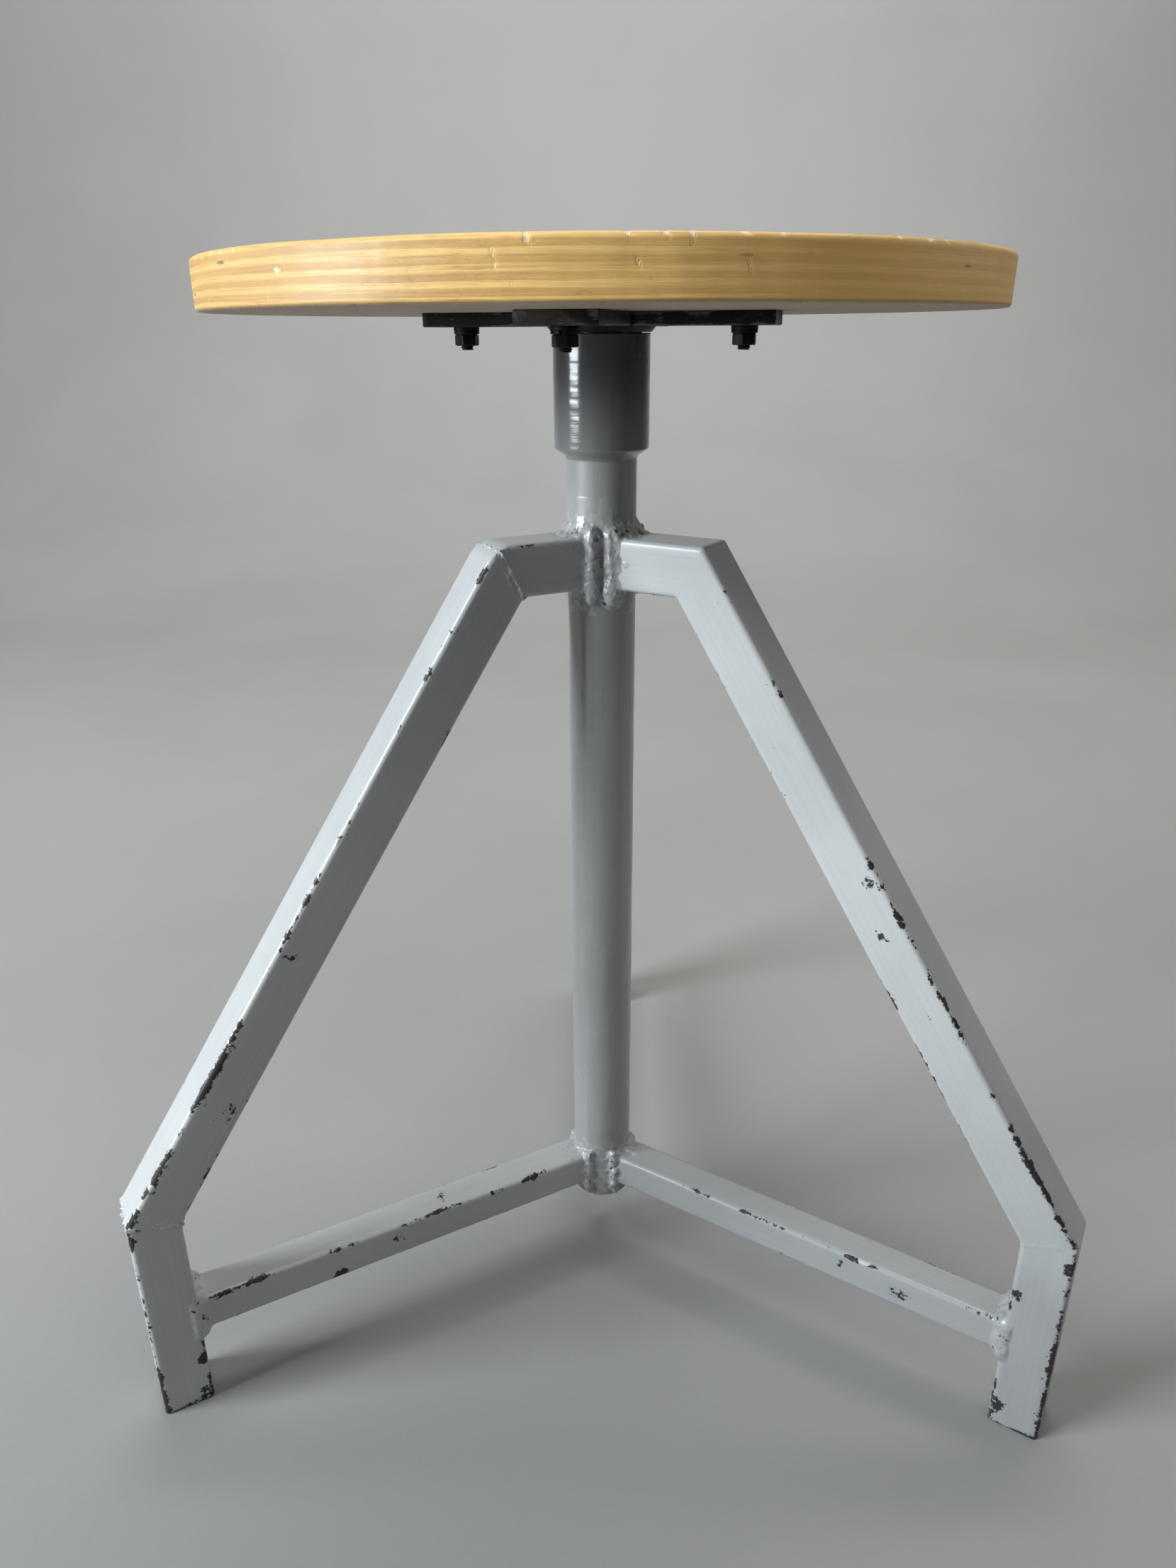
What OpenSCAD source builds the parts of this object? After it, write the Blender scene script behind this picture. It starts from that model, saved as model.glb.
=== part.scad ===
// Adjustable swivel stool: a round plywood seat on a screw spindle that turns in a welded
// three-legged frame of square tube. Turning the seat raises or lowers it.
//
// Millimetres, +Z up. The origin is on the floor, on the axis of the column and the spindle.
// The rear leg points along +Y, the other two stand at 120 degrees to it. The seat is at its
// lowest, with the spindle's flange just above the nut.

/* [Seat] */
// Diameter of the plywood seat
seat_d = 350; // [280:5:420]
// Thickness of the plywood seat
seat_t = 20; // [15:1:30]
// Height of the seat's top above the floor, with the spindle screwed right down
seat_height = 554; // [520:1:620]
// Width of the bevel around the seat's edges
seat_bevel = 1.5; // [0.5:0.5:4]

/* [Seat bracket] */
// Length of the bracket's long flat bar, and of the two short arms taken together
bracket_len = 160; // [150:5:220]
// Width of the flat bar
bar_w = 35; // [25:1:45]
// Thickness of the flat bar
bar_t = 6; // [4:0.5:8]
// Diameter of the circle through the four seat bolts
bolt_pcd = 130; // [110:5:134]
// Turn of the long bar from the X axis in the rest pose, in degrees
bracket_turn = -11.7; // [-25:0.1:25]

/* [Spindle] */
// Outer diameter of the spindle's trapezoidal thread
spindle_d = 24; // [20:1:25]
// Length of the spindle below the flat bars
spindle_len = 192; // [120:1:200]
// Diameter of the welded flange that rests on the nut
flange_d = 50; // [45:1:60]
// Thickness of that flange
flange_t = 2.5; // [2:0.5:5]

/* [Column and nut] */
// Outer diameter of the column pipe
column_d = 33.7; // [33:0.1:36]
// Inner diameter of the column pipe
column_bore_d = 27.2; // [26.6:0.1:28]
// Height of the column's open lower end above the floor
column_low = 35; // [20:1:40]
// Outer diameter of the spindle nut
nut_d = 45; // [42:1:50]
// Height of the spindle nut, with the skirt that sits over the column
nut_h = 55; // [50:1:60]
// Depth of that skirt
skirt_h = 15; // [10:1:20]

/* [Legs] */
// Side of the square tube of the arms, struts and feet
leg_tube = 25; // [22:1:28]
// Wall of the square tubes
tube_wall = 2; // [1.5:0.1:2.5]
// Height of the top of the arms
arm_top = 435.5; // [400:0.5:440]
// Distance from the axis to the upper corner between an arm and its strut
knee_r = 61; // [55:1:75]
// Distance from the axis to the outer face of the feet
foot_r = 268; // [240:1:290]
// Height of the outer corner between a strut and its foot
ankle_z = 127; // [110:1:150]
// Side of the square tube of the stretchers
stretcher_tube = 20; // [16:1:22]
// Height of the stretchers' centre line
stretcher_z = 55; // [48:1:70]

/* [Hidden] */
$fn = 64;

// Directions of the legs, in degrees from +X
left_way = 210;
right_way = 330;
rear_way = 90;

// Heights, from the top down
board_low = seat_height - seat_t;
bar_low = board_low - bar_t;
flange_low = bar_low - flange_t;
rest_gap = 0.3;
nut_top = flange_low - rest_gap;
nut_low = nut_top - nut_h;
column_top = nut_low + skirt_h;
spindle_low = bar_low - spindle_len;

// Fits, all radial or on one side
run_gap = 0.05;
slide_gap = 0.1;
face_gap = 0.1;
hole_gap = 0.25;

// Legs: slope of a strut and the two mitres, in degrees below the horizontal
strut_slope = atan((arm_top - ankle_z) / (foot_r - knee_r));
knee_mitre = strut_slope / 2;
ankle_mitre = (strut_slope + 90) / 2;
knee_mid = [knee_r - leg_tube / 2 * tan(knee_mitre), arm_top - leg_tube / 2];
ankle_mid = [foot_r - leg_tube / 2, ankle_z - leg_tube / 2 * tan(90 - ankle_mitre)];
strut_len = norm(ankle_mid - knee_mid);
tube_corner = 2;

// The nut's chamfer runs down to a narrow rim around the column
nut_rim = 0.7;
nut_chamfer = (nut_d - column_d) / 2 - nut_rim;

// Foot plates close the feet from inside, flush with the floor
foot_plate_t = 3;

// Stop at the spindle's lower end: a loose washer held by a hexagon bolt
stop_washer_t = 4;
stop_bolt_d = 8;
stop_bolt_len = 30;
stop_bolt_flats = 13;
stop_bolt_head = 5.3;

// M6 fasteners of the seat
bolt_d = 6;
bolt_head_d = 12;
bolt_head_h = 3;
bolt_sunk = 1;
bolt_len = 35;
bolt_socket_flats = 4;
bolt_socket_h = 2;
washer_d = 12;
washer_t = 1.6;
spring_washer_d = 11.8;
spring_washer_t = 1.5;
spring_washer_slit = 1;
nut6_flats = 10;
nut6_h = 5;

// A cutting block that is larger than anything it cuts
block = 600;

// Square outline with cut corners
module square_outline(side, corner) {
    s = side / 2;
    c = s - corner;
    polygon([[s, -c], [s, c], [c, s], [-c, s], [-s, c], [-s, -c], [-c, -s], [c, -s]]);
}

// Square tube along +X, from X = 0
module square_tube(side, length) {
    rotate([0, 90, 0])
        linear_extrude(length)
            difference() {
                square_outline(side, tube_corner);
                square_outline(side - 2 * tube_wall, tube_corner / 4);
            }
}

// Everything beyond the plane through a point of the leg's own XZ plane, whose normal slopes down
module beyond(point, slope) {
    translate([point[0], 0, point[1]])
        rotate([0, slope, 0])
            translate([0, -block / 2, -block / 2])
                cube(block);
}

// The column's outside with the gap of a coped joint around it
module column_cope() {
    translate([0, 0, column_low - 1])
        cylinder(h = column_top, d = column_d + 2 * run_gap);
}

// Hexagon prism, measured across its flats
module hexagon(flats, height) {
    cylinder(h = height, r = flats / 2 / cos(30), $fn = 6);
}

module ring(outer_d, inner_d, height) {
    difference() {
        cylinder(h = height, d = outer_d);
        translate([0, 0, -1])
            cylinder(h = height + 2, d = inner_d);
    }
}

// Puts a copy at each seat bolt: two on the long bar and one on each short arm
module at_seat_bolts() {
    for (quarter = [0 : 3])
        rotate([0, 0, bracket_turn + 90 * quarter])
            translate([bolt_pcd / 2, 0, 0])
                children();
}

// ---- Frame ----

module column() {
    color("slategray")
        translate([0, 0, column_low])
            ring(column_d, column_bore_d, column_top - column_low);
}

module spindle_nut() {
    rim_r = nut_d / 2 - nut_chamfer;
    bore_r = spindle_d / 2 + run_gap;
    skirt_r = column_d / 2 + run_gap;
    color("slategray")
        rotate_extrude()
            polygon([
                [skirt_r, nut_low], [rim_r, nut_low],
                [nut_d / 2, nut_low + nut_chamfer], [nut_d / 2, nut_top - 0.5],
                [nut_d / 2 - 0.5, nut_top], [bore_r, nut_top],
                [bore_r, column_top], [skirt_r, column_top]
            ]);
}

module leg_arm(way) {
    color("lightsteelblue")
        rotate([0, 0, way])
            difference() {
                translate([0, 0, knee_mid[1]])
                    square_tube(leg_tube, knee_r + 1);
                beyond(knee_mid, knee_mitre);
                column_cope();
            }
}

module leg_strut(way) {
    color("lightsteelblue")
        rotate([0, 0, way])
            difference() {
                translate([knee_mid[0], 0, knee_mid[1]])
                    rotate([0, strut_slope, 0])
                        translate([-leg_tube, 0, 0])
                            square_tube(leg_tube, strut_len + 2 * leg_tube);
                beyond(knee_mid, knee_mitre + 180);
                beyond(ankle_mid, ankle_mitre);
            }
}

module leg_foot(way) {
    color("lightsteelblue")
        rotate([0, 0, way])
            difference() {
                translate([ankle_mid[0], 0, ankle_z + 1])
                    rotate([0, 90, 0])
                        square_tube(leg_tube, ankle_z + 1);
                beyond(ankle_mid, ankle_mitre + 180);
            }
}

module stretcher(way) {
    color("lightsteelblue")
        rotate([0, 0, way])
            difference() {
                translate([0, 0, stretcher_z])
                    square_tube(stretcher_tube, foot_r - leg_tube);
                column_cope();
            }
}

module foot_plate(way) {
    side = leg_tube - 2 * tube_wall - 2 * run_gap;
    color("gray")
        rotate([0, 0, way])
            translate([ankle_mid[0], 0, 0])
                linear_extrude(foot_plate_t)
                    square_outline(side, tube_corner / 4);
}

// ---- Stop at the spindle's lower end ----

module stop_washer() {
    color("dimgray")
        translate([0, 0, spindle_low - face_gap - stop_washer_t])
            ring(column_bore_d - 2 * slide_gap, stop_bolt_d + 2 * run_gap, stop_washer_t);
}

module stop_bolt() {
    head_top = spindle_low - 2 * face_gap - stop_washer_t;
    color("dimgray") {
        translate([0, 0, head_top - stop_bolt_head])
            hexagon(stop_bolt_flats, stop_bolt_head);
        translate([0, 0, head_top - stop_bolt_head / 2])
            cylinder(h = stop_bolt_len + stop_bolt_head / 2, d = stop_bolt_d);
    }
}

// ---- Spindle and seat bracket ----

module spindle() {
    end_bevel = 2;
    color("silver")
        difference() {
            union() {
                translate([0, 0, spindle_low])
                    cylinder(h = end_bevel, d1 = spindle_d - 2 * end_bevel, d2 = spindle_d);
                translate([0, 0, spindle_low + end_bevel])
                    cylinder(h = spindle_len - end_bevel, d = spindle_d);
            }
            translate([0, 0, spindle_low - 1])
                cylinder(h = stop_bolt_len + 1, d = stop_bolt_d + 2 * run_gap);
        }
}

module spindle_flange() {
    taper = 2;
    color("dimgray")
        translate([0, 0, flange_low])
            difference() {
                cylinder(h = flange_t, d1 = flange_d - 2 * taper, d2 = flange_d);
                translate([0, 0, -1])
                    cylinder(h = flange_t + 2, d = spindle_d + 2 * run_gap);
            }
}

module bolt_hole() {
    cylinder(h = seat_height + 1, d = bolt_d + 2 * hole_gap);
}

module bracket_bar() {
    color("dimgray")
        difference() {
            rotate([0, 0, bracket_turn])
                translate([-bracket_len / 2, -bar_w / 2, bar_low])
                    cube([bracket_len, bar_w, bar_t]);
            at_seat_bolts() bolt_hole();
        }
}

// A short arm, welded against the long bar's edge: way is -1 for the front and 1 for the rear
module bracket_arm(way) {
    arm_len = (bracket_len - bar_w) / 2;
    middle = way * (bar_w + arm_len) / 2;
    color("dimgray")
        difference() {
            rotate([0, 0, bracket_turn])
                translate([-bar_w / 2, middle - arm_len / 2, bar_low])
                    cube([bar_w, arm_len, bar_t]);
            at_seat_bolts() bolt_hole();
        }
}

// ---- Seat and its fasteners ----

module seat_board() {
    sink_r = bolt_head_d / 2 + hole_gap;
    hole_r = bolt_d / 2 + hole_gap;
    head_low = seat_height - bolt_sunk - bolt_head_h;
    color("burlywood")
        difference() {
            rotate_extrude($fn = 128)
                polygon([
                    [0, board_low], [seat_d / 2 - seat_bevel, board_low],
                    [seat_d / 2, board_low + seat_bevel], [seat_d / 2, seat_height - seat_bevel],
                    [seat_d / 2 - seat_bevel, seat_height], [0, seat_height]
                ]);
            at_seat_bolts() {
                bolt_hole();
                translate([0, 0, head_low])
                    cylinder(h = bolt_head_h, r1 = hole_r, r2 = sink_r);
                translate([0, 0, head_low + bolt_head_h])
                    cylinder(h = bolt_sunk + 1, r = sink_r);
            }
        }
}

module seat_bolts() {
    head_top = seat_height - bolt_sunk;
    color("black")
        at_seat_bolts()
            difference() {
                union() {
                    translate([0, 0, head_top - bolt_len])
                        cylinder(h = bolt_len - bolt_head_h, d = bolt_d);
                    translate([0, 0, head_top - bolt_head_h])
                        cylinder(h = bolt_head_h, d1 = bolt_d, d2 = bolt_head_d);
                }
                translate([0, 0, head_top - bolt_socket_h])
                    hexagon(bolt_socket_flats, bolt_socket_h + 1);
            }
}

module seat_washers() {
    color("black")
        at_seat_bolts()
            translate([0, 0, bar_low - washer_t])
                ring(washer_d, bolt_d + 2 * hole_gap, washer_t);
}

module seat_spring_washers() {
    color("black")
        at_seat_bolts()
            translate([0, 0, bar_low - washer_t - spring_washer_t])
                difference() {
                    ring(spring_washer_d, bolt_d + 2 * slide_gap, spring_washer_t);
                    translate([0, -spring_washer_slit / 2, -1])
                        cube([spring_washer_d, spring_washer_slit, spring_washer_t + 2]);
                }
}

module seat_nuts() {
    color("black")
        at_seat_bolts()
            translate([0, 0, bar_low - washer_t - spring_washer_t - nut6_h])
                difference() {
                    hexagon(nut6_flats, nut6_h);
                    translate([0, 0, -1])
                        cylinder(h = nut6_h + 2, d = bolt_d + 2 * run_gap);
                }
}

column();
spindle_nut();
leg_arm(left_way);  // leg_arm_left
leg_arm(right_way);  // leg_arm_right
leg_arm(rear_way);  // leg_arm_rear
leg_strut(left_way);  // leg_strut_left
leg_strut(right_way);  // leg_strut_right
leg_strut(rear_way);  // leg_strut_rear
leg_foot(left_way);  // leg_foot_left
leg_foot(right_way);  // leg_foot_right
leg_foot(rear_way);  // leg_foot_rear
stretcher(left_way);  // stretcher_left
stretcher(right_way);  // stretcher_right
stretcher(rear_way);  // stretcher_rear
foot_plate(left_way);  // foot_plate_left
foot_plate(right_way);  // foot_plate_right
foot_plate(rear_way);  // foot_plate_rear
stop_washer();
spindle();
spindle_flange();
stop_bolt();
bracket_bar();
bracket_arm(-1);  // bracket_arm_front
bracket_arm(1);  // bracket_arm_rear
seat_board();
seat_bolts();
seat_washers();
seat_spring_washers();
seat_nuts();
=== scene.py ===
"""Looks for the adjustable swivel stool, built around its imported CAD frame.

Shapes are worked out in millimetres and become metres when a piece is made. Sizes come from the
frame's own nodes. The sections are: sizes, shapes, materials, pieces, stage.
"""

import math

import bmesh
import bpy
import numpy as np
import openvdb
from mathutils import Matrix, Vector


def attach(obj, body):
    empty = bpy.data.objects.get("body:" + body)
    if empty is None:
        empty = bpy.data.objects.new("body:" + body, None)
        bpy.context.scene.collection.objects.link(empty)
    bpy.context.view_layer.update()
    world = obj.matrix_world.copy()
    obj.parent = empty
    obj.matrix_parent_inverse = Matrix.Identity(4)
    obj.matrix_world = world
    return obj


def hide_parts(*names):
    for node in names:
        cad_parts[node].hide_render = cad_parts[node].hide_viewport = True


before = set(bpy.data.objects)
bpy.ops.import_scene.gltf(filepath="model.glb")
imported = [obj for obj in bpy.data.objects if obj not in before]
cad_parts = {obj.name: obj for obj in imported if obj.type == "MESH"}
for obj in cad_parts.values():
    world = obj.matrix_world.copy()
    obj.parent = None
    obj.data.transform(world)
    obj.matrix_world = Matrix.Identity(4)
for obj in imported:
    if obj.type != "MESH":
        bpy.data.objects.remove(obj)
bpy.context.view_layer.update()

MM = 0.001
TAU = 2 * math.pi
LEGS = ("left", "right", "rear")


# ================================================================ sizes, in millimetres


def node_points(node):
    return np.array([v.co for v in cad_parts[node].data.vertices]) / MM


def span(node, axis, turn=0.0):
    """Lowest and highest coordinate of a CAD node along an axis of a frame turned round Z."""
    x, y, z = node_points(node).T
    c, s = math.cos(turn), math.sin(turn)
    values = (c * x + s * y, c * y - s * x, z)[axis]
    return values.min(), values.max()


def reach(node):
    """Smallest and largest distance of a CAD node's points from the Z axis."""
    x, y, _ = node_points(node).T
    radius = np.hypot(x, y)
    return radius.min(), radius.max()


SEAT_R = reach("seat_board")[1]
SEAT_LOW, SEAT_TOP = span("seat_board", 2)
FLANGE_LOW, FLANGE_TOP = span("spindle_flange", 2)
FLANGE_R = reach("spindle_flange")[1]
NUT_LOW, NUT_TOP = span("spindle_nut", 2)
NUT_BORE_R, NUT_R = reach("spindle_nut")
COLUMN_LOW, COLUMN_TOP = span("column", 2)
COLUMN_BORE_R, COLUMN_R = reach("column")
SPINDLE_LOW, SPINDLE_TOP = span("spindle", 2)
SPINDLE_R = reach("spindle")[1]
SPINDLE_PITCH, THREAD_DEPTH = 5.0, 2.75

LEG_TUBE = 2 * span("leg_foot_rear", 0)[1]
WALL = LEG_TUBE / 2 - span("foot_plate_rear", 0)[1]
PLATE_TOP = span("foot_plate_rear", 2)[1]
FOOT_R = span("leg_foot_rear", 1)[1]
ANKLE_Z = span("leg_foot_rear", 2)[1]
KNEE_R = span("leg_arm_rear", 1)[1]
ARM_TOP = span("leg_arm_rear", 2)[1]
STRETCHER = 2 * span("stretcher_rear", 0)[1]
STRETCHER_Z = sum(span("stretcher_rear", 2)) / 2
STRETCHER_R = span("stretcher_rear", 1)[1]
STRUT_SLOPE = math.atan2(ARM_TOP - ANKLE_Z, FOOT_R - KNEE_R)
STRUT_LENGTH = math.hypot(ARM_TOP - ANKLE_Z, FOOT_R - KNEE_R)
KNEE_BEND = STRUT_SLOPE
ANKLE_BEND = math.pi / 2 - STRUT_SLOPE
LEG_WAY = {
    leg: math.atan2(*(sum(span("leg_foot_" + leg, axis)) for axis in (1, 0))) for leg in LEGS
}

# The seat bolts' circle, and the turn of the bracket's long bar, on which the washer nearest to
# the X axis lies
BOLT_CIRCLE_R = sum(reach("seat_washers")) / 2
first_washer = np.mean([p for p in node_points("seat_washers") if p[0] > abs(p[1]) * 1.2], axis=0)
BRACKET_TURN = math.atan2(first_washer[1], first_washer[0])
BOLT_LOW, BOLT_TOP = span("seat_bolts", 2)
BOLT_R, BOLT_ROOT_R, BOLT_PITCH = 3.0, 2.45, 1.0
BOLT_HEAD_R = reach("seat_bolts")[1] - BOLT_CIRCLE_R
BOLT_HEAD_H = 3.0
NUT6_LOW, NUT6_TOP = span("seat_nuts", 2)
NUT6_FLATS = 10.0


# ================================================================ shapes


class Shape:
    """Points in millimetres, faces, and named values at each point."""

    def __init__(self, points, faces, **layers):
        self.points = np.asarray(points, float).reshape(-1, 3)
        self.faces = [tuple(int(i) for i in face) for face in faces]
        self.layers = layers

    def __add__(self, other):
        shift = len(self.points)
        faces = self.faces + [tuple(i + shift for i in face) for face in other.faces]
        layers = {
            name: np.concatenate([values, other.layers[name]])
            for name, values in self.layers.items()
            if name in other.layers
        }
        return Shape(np.concatenate([self.points, other.points]), faces, **layers)

    def moved(self, turn=0.0, x=0.0, y=0.0, z=0.0):
        """The shape shifted by (x, y, z) and then turned round Z."""
        px, py, pz = (self.points + (x, y, z)).T
        c, s = math.cos(turn), math.sin(turn)
        points = np.stack([c * px - s * py, s * px + c * py, pz], axis=1)
        return Shape(points, self.faces, **self.layers)


def grid_faces(rows, columns, closed_rows=False):
    """Quads over a grid of points whose columns go right round."""
    j = np.arange(columns)
    k = (j + 1) % columns
    faces = []
    for i in range(rows if closed_rows else rows - 1):
        a, b = i * columns, (i + 1) % rows * columns
        faces.append(np.stack([a + j, a + k, b + k, b + j], axis=1))
    return np.concatenate(faces).tolist()


def capped_grid(rows, columns):
    """The quads of grid_faces, and a face that closes the first row and the last."""
    return grid_faces(rows, columns) + [range(columns), range((rows - 1) * columns, rows * columns)]


def round_z(angle, radius, z):
    """Points from their angles and distances round Z and their heights."""
    return np.stack([radius * np.cos(angle), radius * np.sin(angle), z], axis=-1)


def lathe(profile, segments, warp=None, closed=False):
    """Turns a profile of (radius, height) round Z. A closed profile is an outline clear of the
    axis, and any other one begins and ends on it. warp(angle, radius, height) moves the points."""
    radius, height = np.array(profile, float).T
    a, r = np.meshgrid(np.arange(segments) * TAU / segments, radius)
    z = np.repeat(height[:, None], segments, axis=1)
    if warp:
        r, z = warp(a, r, z)
    return Shape(round_z(a, r, z), grid_faces(len(radius), segments, closed))


def arc(centre_r, centre_z, radius, start, end, steps=5):
    """Profile points on an arc, from start to end in degrees."""
    return [
        (centre_r + radius * math.cos(a), centre_z + radius * math.sin(a))
        for a in np.radians(np.linspace(start, end, steps + 1))
    ]


def rows_between(a, b, step):
    """Numbers from a to b, no further apart than step."""
    return np.linspace(a, b, max(2, math.ceil(abs(b - a) / step) + 1))


def screw_thread(low, high, radius, root, pitch, outline, end_bevel, segments):
    """A right-hand thread between two heights. outline gives points (share of a pitch, share of
    the thread's depth). Points beyond an end are drawn in over it and close it."""
    turns = math.ceil((high - low) / pitch) + 4
    share, depth = np.array(outline).T
    per_turn = len(outline)
    base_z = low - 2 * pitch + pitch * (np.repeat(np.arange(turns), per_turn) + np.tile(share, turns))
    base_r = radius - (radius - root) * np.tile(depth, turns)
    angle = np.arange(segments) * TAU / segments
    z = base_z[:, None] + pitch * angle / TAU
    r = np.repeat(base_r[:, None], segments, axis=1)
    past = np.maximum(low - z, z - high)
    r = np.minimum(r, radius - end_bevel + np.maximum(-past, 0))
    r *= np.clip(1 - past / (0.8 * pitch), 0, 1)
    z = np.clip(z, low, high)
    points = round_z(angle, r, z)
    faces = []
    rows = turns * per_turn
    for i in range(rows - 1):
        for j in range(segments - 1):
            a = i * segments + j
            faces.append((a, a + 1, a + segments + 1, a + segments))
        if i + 1 + per_turn < rows:
            a, b = i * segments + segments - 1, (i + per_turn) * segments
            faces.append((a, b, b + segments, a + segments))
    return Shape(points, faces)


TRAPEZOID = [(0.0, 0.0), (0.366, 0.0), (0.49, 0.93), (0.52, 1.0), (0.846, 1.0), (0.876, 0.93)]
SHARP_THREAD = [(0.0, 0.0), (0.125, 0.0), (0.5, 1.0), (0.625, 1.0)]


def hexagon_r(angle, flats):
    """Distance from a hexagon's middle to its side, at an angle."""
    return flats / 2 / np.cos((angle + TAU / 12) % (TAU / 6) - TAU / 12)


def wobble(seed, points, size):
    """Smooth noise, mostly from -1 to 1, with bumps about size millimetres across."""
    random = np.random.default_rng(seed)
    total = np.zeros(points.shape[:-1])
    waves = 9
    for _ in range(waves):
        way = random.normal(size=3)
        way *= TAU / (2 * size) / np.linalg.norm(way) * random.uniform(0.6, 1.5)
        total += np.sin(points @ way + random.uniform(0, TAU))
    return total / math.sqrt(waves)


def as_mesh(name, shape, sharp=35.0):
    mesh = bpy.data.meshes.new(name)
    mesh.from_pydata((shape.points * MM).tolist(), [], shape.faces)
    for layer, values in shape.layers.items():
        attribute = mesh.attributes.new(layer, "FLOAT", "POINT")
        attribute.data.foreach_set("value", np.asarray(values, np.float32))
    work = bmesh.new()
    work.from_mesh(mesh)
    bmesh.ops.remove_doubles(work, verts=work.verts, dist=1e-6)
    bmesh.ops.dissolve_degenerate(work, dist=1e-7, edges=work.edges)
    loose = [v for v in work.verts if not v.link_faces]
    bmesh.ops.delete(work, geom=loose, context="VERTS")
    bmesh.ops.recalc_face_normals(work, faces=work.faces)
    work.to_mesh(mesh)
    work.free()
    mesh.shade_smooth()
    mesh.set_sharp_from_angle(angle=math.radians(sharp))
    return mesh


def piece(name, shape, finish, slot, body, *stands_for, sharp=35.0):
    """Makes a piece from a shape, gives it its finish and lets it ride on a CAD body."""
    obj = bpy.data.objects.new(name, as_mesh(name, shape, sharp))
    bpy.context.scene.collection.objects.link(obj)
    obj.data.materials.append(finish)
    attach(obj, body)
    if stands_for:
        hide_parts(*stands_for)
    return obj


# ---------------------------------------------------------------- square tubes

# Radii of a tube's corners and bends, and how far from a corner edges count as near
CORNER_R = 2.5
BEND_R = 3.0
EDGE_REACH = 6.0
# A bend whose radius is larger than this was ground, and has no ridge that wears
GROUND_ROUND = 5.0


def tube_outline(side, inset=0.0):
    """Points (across, depth) round a square tube. Depth is 0 on its outer face."""
    radius = max(CORNER_R - inset, 0.4)
    straight = side / 2 - inset - radius
    points = []
    for corner, (sign_x, sign_y) in enumerate(((1, 1), (-1, 1), (-1, -1), (1, -1))):
        start = corner * math.pi / 2
        for a in start + np.linspace(0, math.pi / 2, 7):
            x = sign_x * straight + radius * math.cos(a)
            y = sign_y * straight + radius * math.sin(a)
            points.append((x, y))
        for share in np.linspace(0, 2 * straight, 10)[1:-1]:
            points.append((x - share * math.cos(start), y - share * math.sin(start)))
    points = np.array(points)
    return np.stack([points[:, 0], side / 2 - points[:, 1]], axis=1)


def outline_layers(side, outline):
    """How near each outline point is to a corner, from 0 to 1, and its way round in millimetres."""
    corner = side / 2 - CORNER_R * (1 - math.sqrt(0.5))
    across = corner - np.abs(outline[:, 0])
    deep = corner - np.abs(outline[:, 1] - side / 2)
    near = np.clip(1 - np.hypot(across, deep) / EDGE_REACH, 0, 1)
    around = np.concatenate([[0], np.cumsum(np.linalg.norm(np.diff(outline, axis=0), axis=1))])
    return near, around


def worn_places(places, side, across, depth, along):
    """Wear at outline points. places gives, for each (side of the leg, share of the tube's depth),
    the stretches that are worn there as (from, to, strength)."""
    wear = np.zeros(len(across))
    for (where, share), stretches in places.items():
        off = np.hypot(across - where * side / 2, depth - share * side)
        for start, end, strength in stretches:
            past = np.maximum(0, np.maximum(start - along, along - end))
            wear = np.maximum(wear, strength * np.exp(-((past / 2.5) ** 2) - (off / 4.0) ** 2))
    return wear


def mitre_rings(bend, radius):
    """(distance, push) of the rings that round off the outer corner of a bend: how far in from
    the mitre each one is, and how far its outer side is pushed in."""
    if not bend:
        return [(0.0, 0.0)]
    tilt = math.tan(bend / 2)
    angles = np.linspace(bend / 2, 0, 5 if radius < GROUND_ROUND else 10)
    pushes = radius * (1 - np.cos(angles))
    return list(zip(radius * (tilt - np.sin(angles)) - pushes * tilt, pushes))


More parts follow.
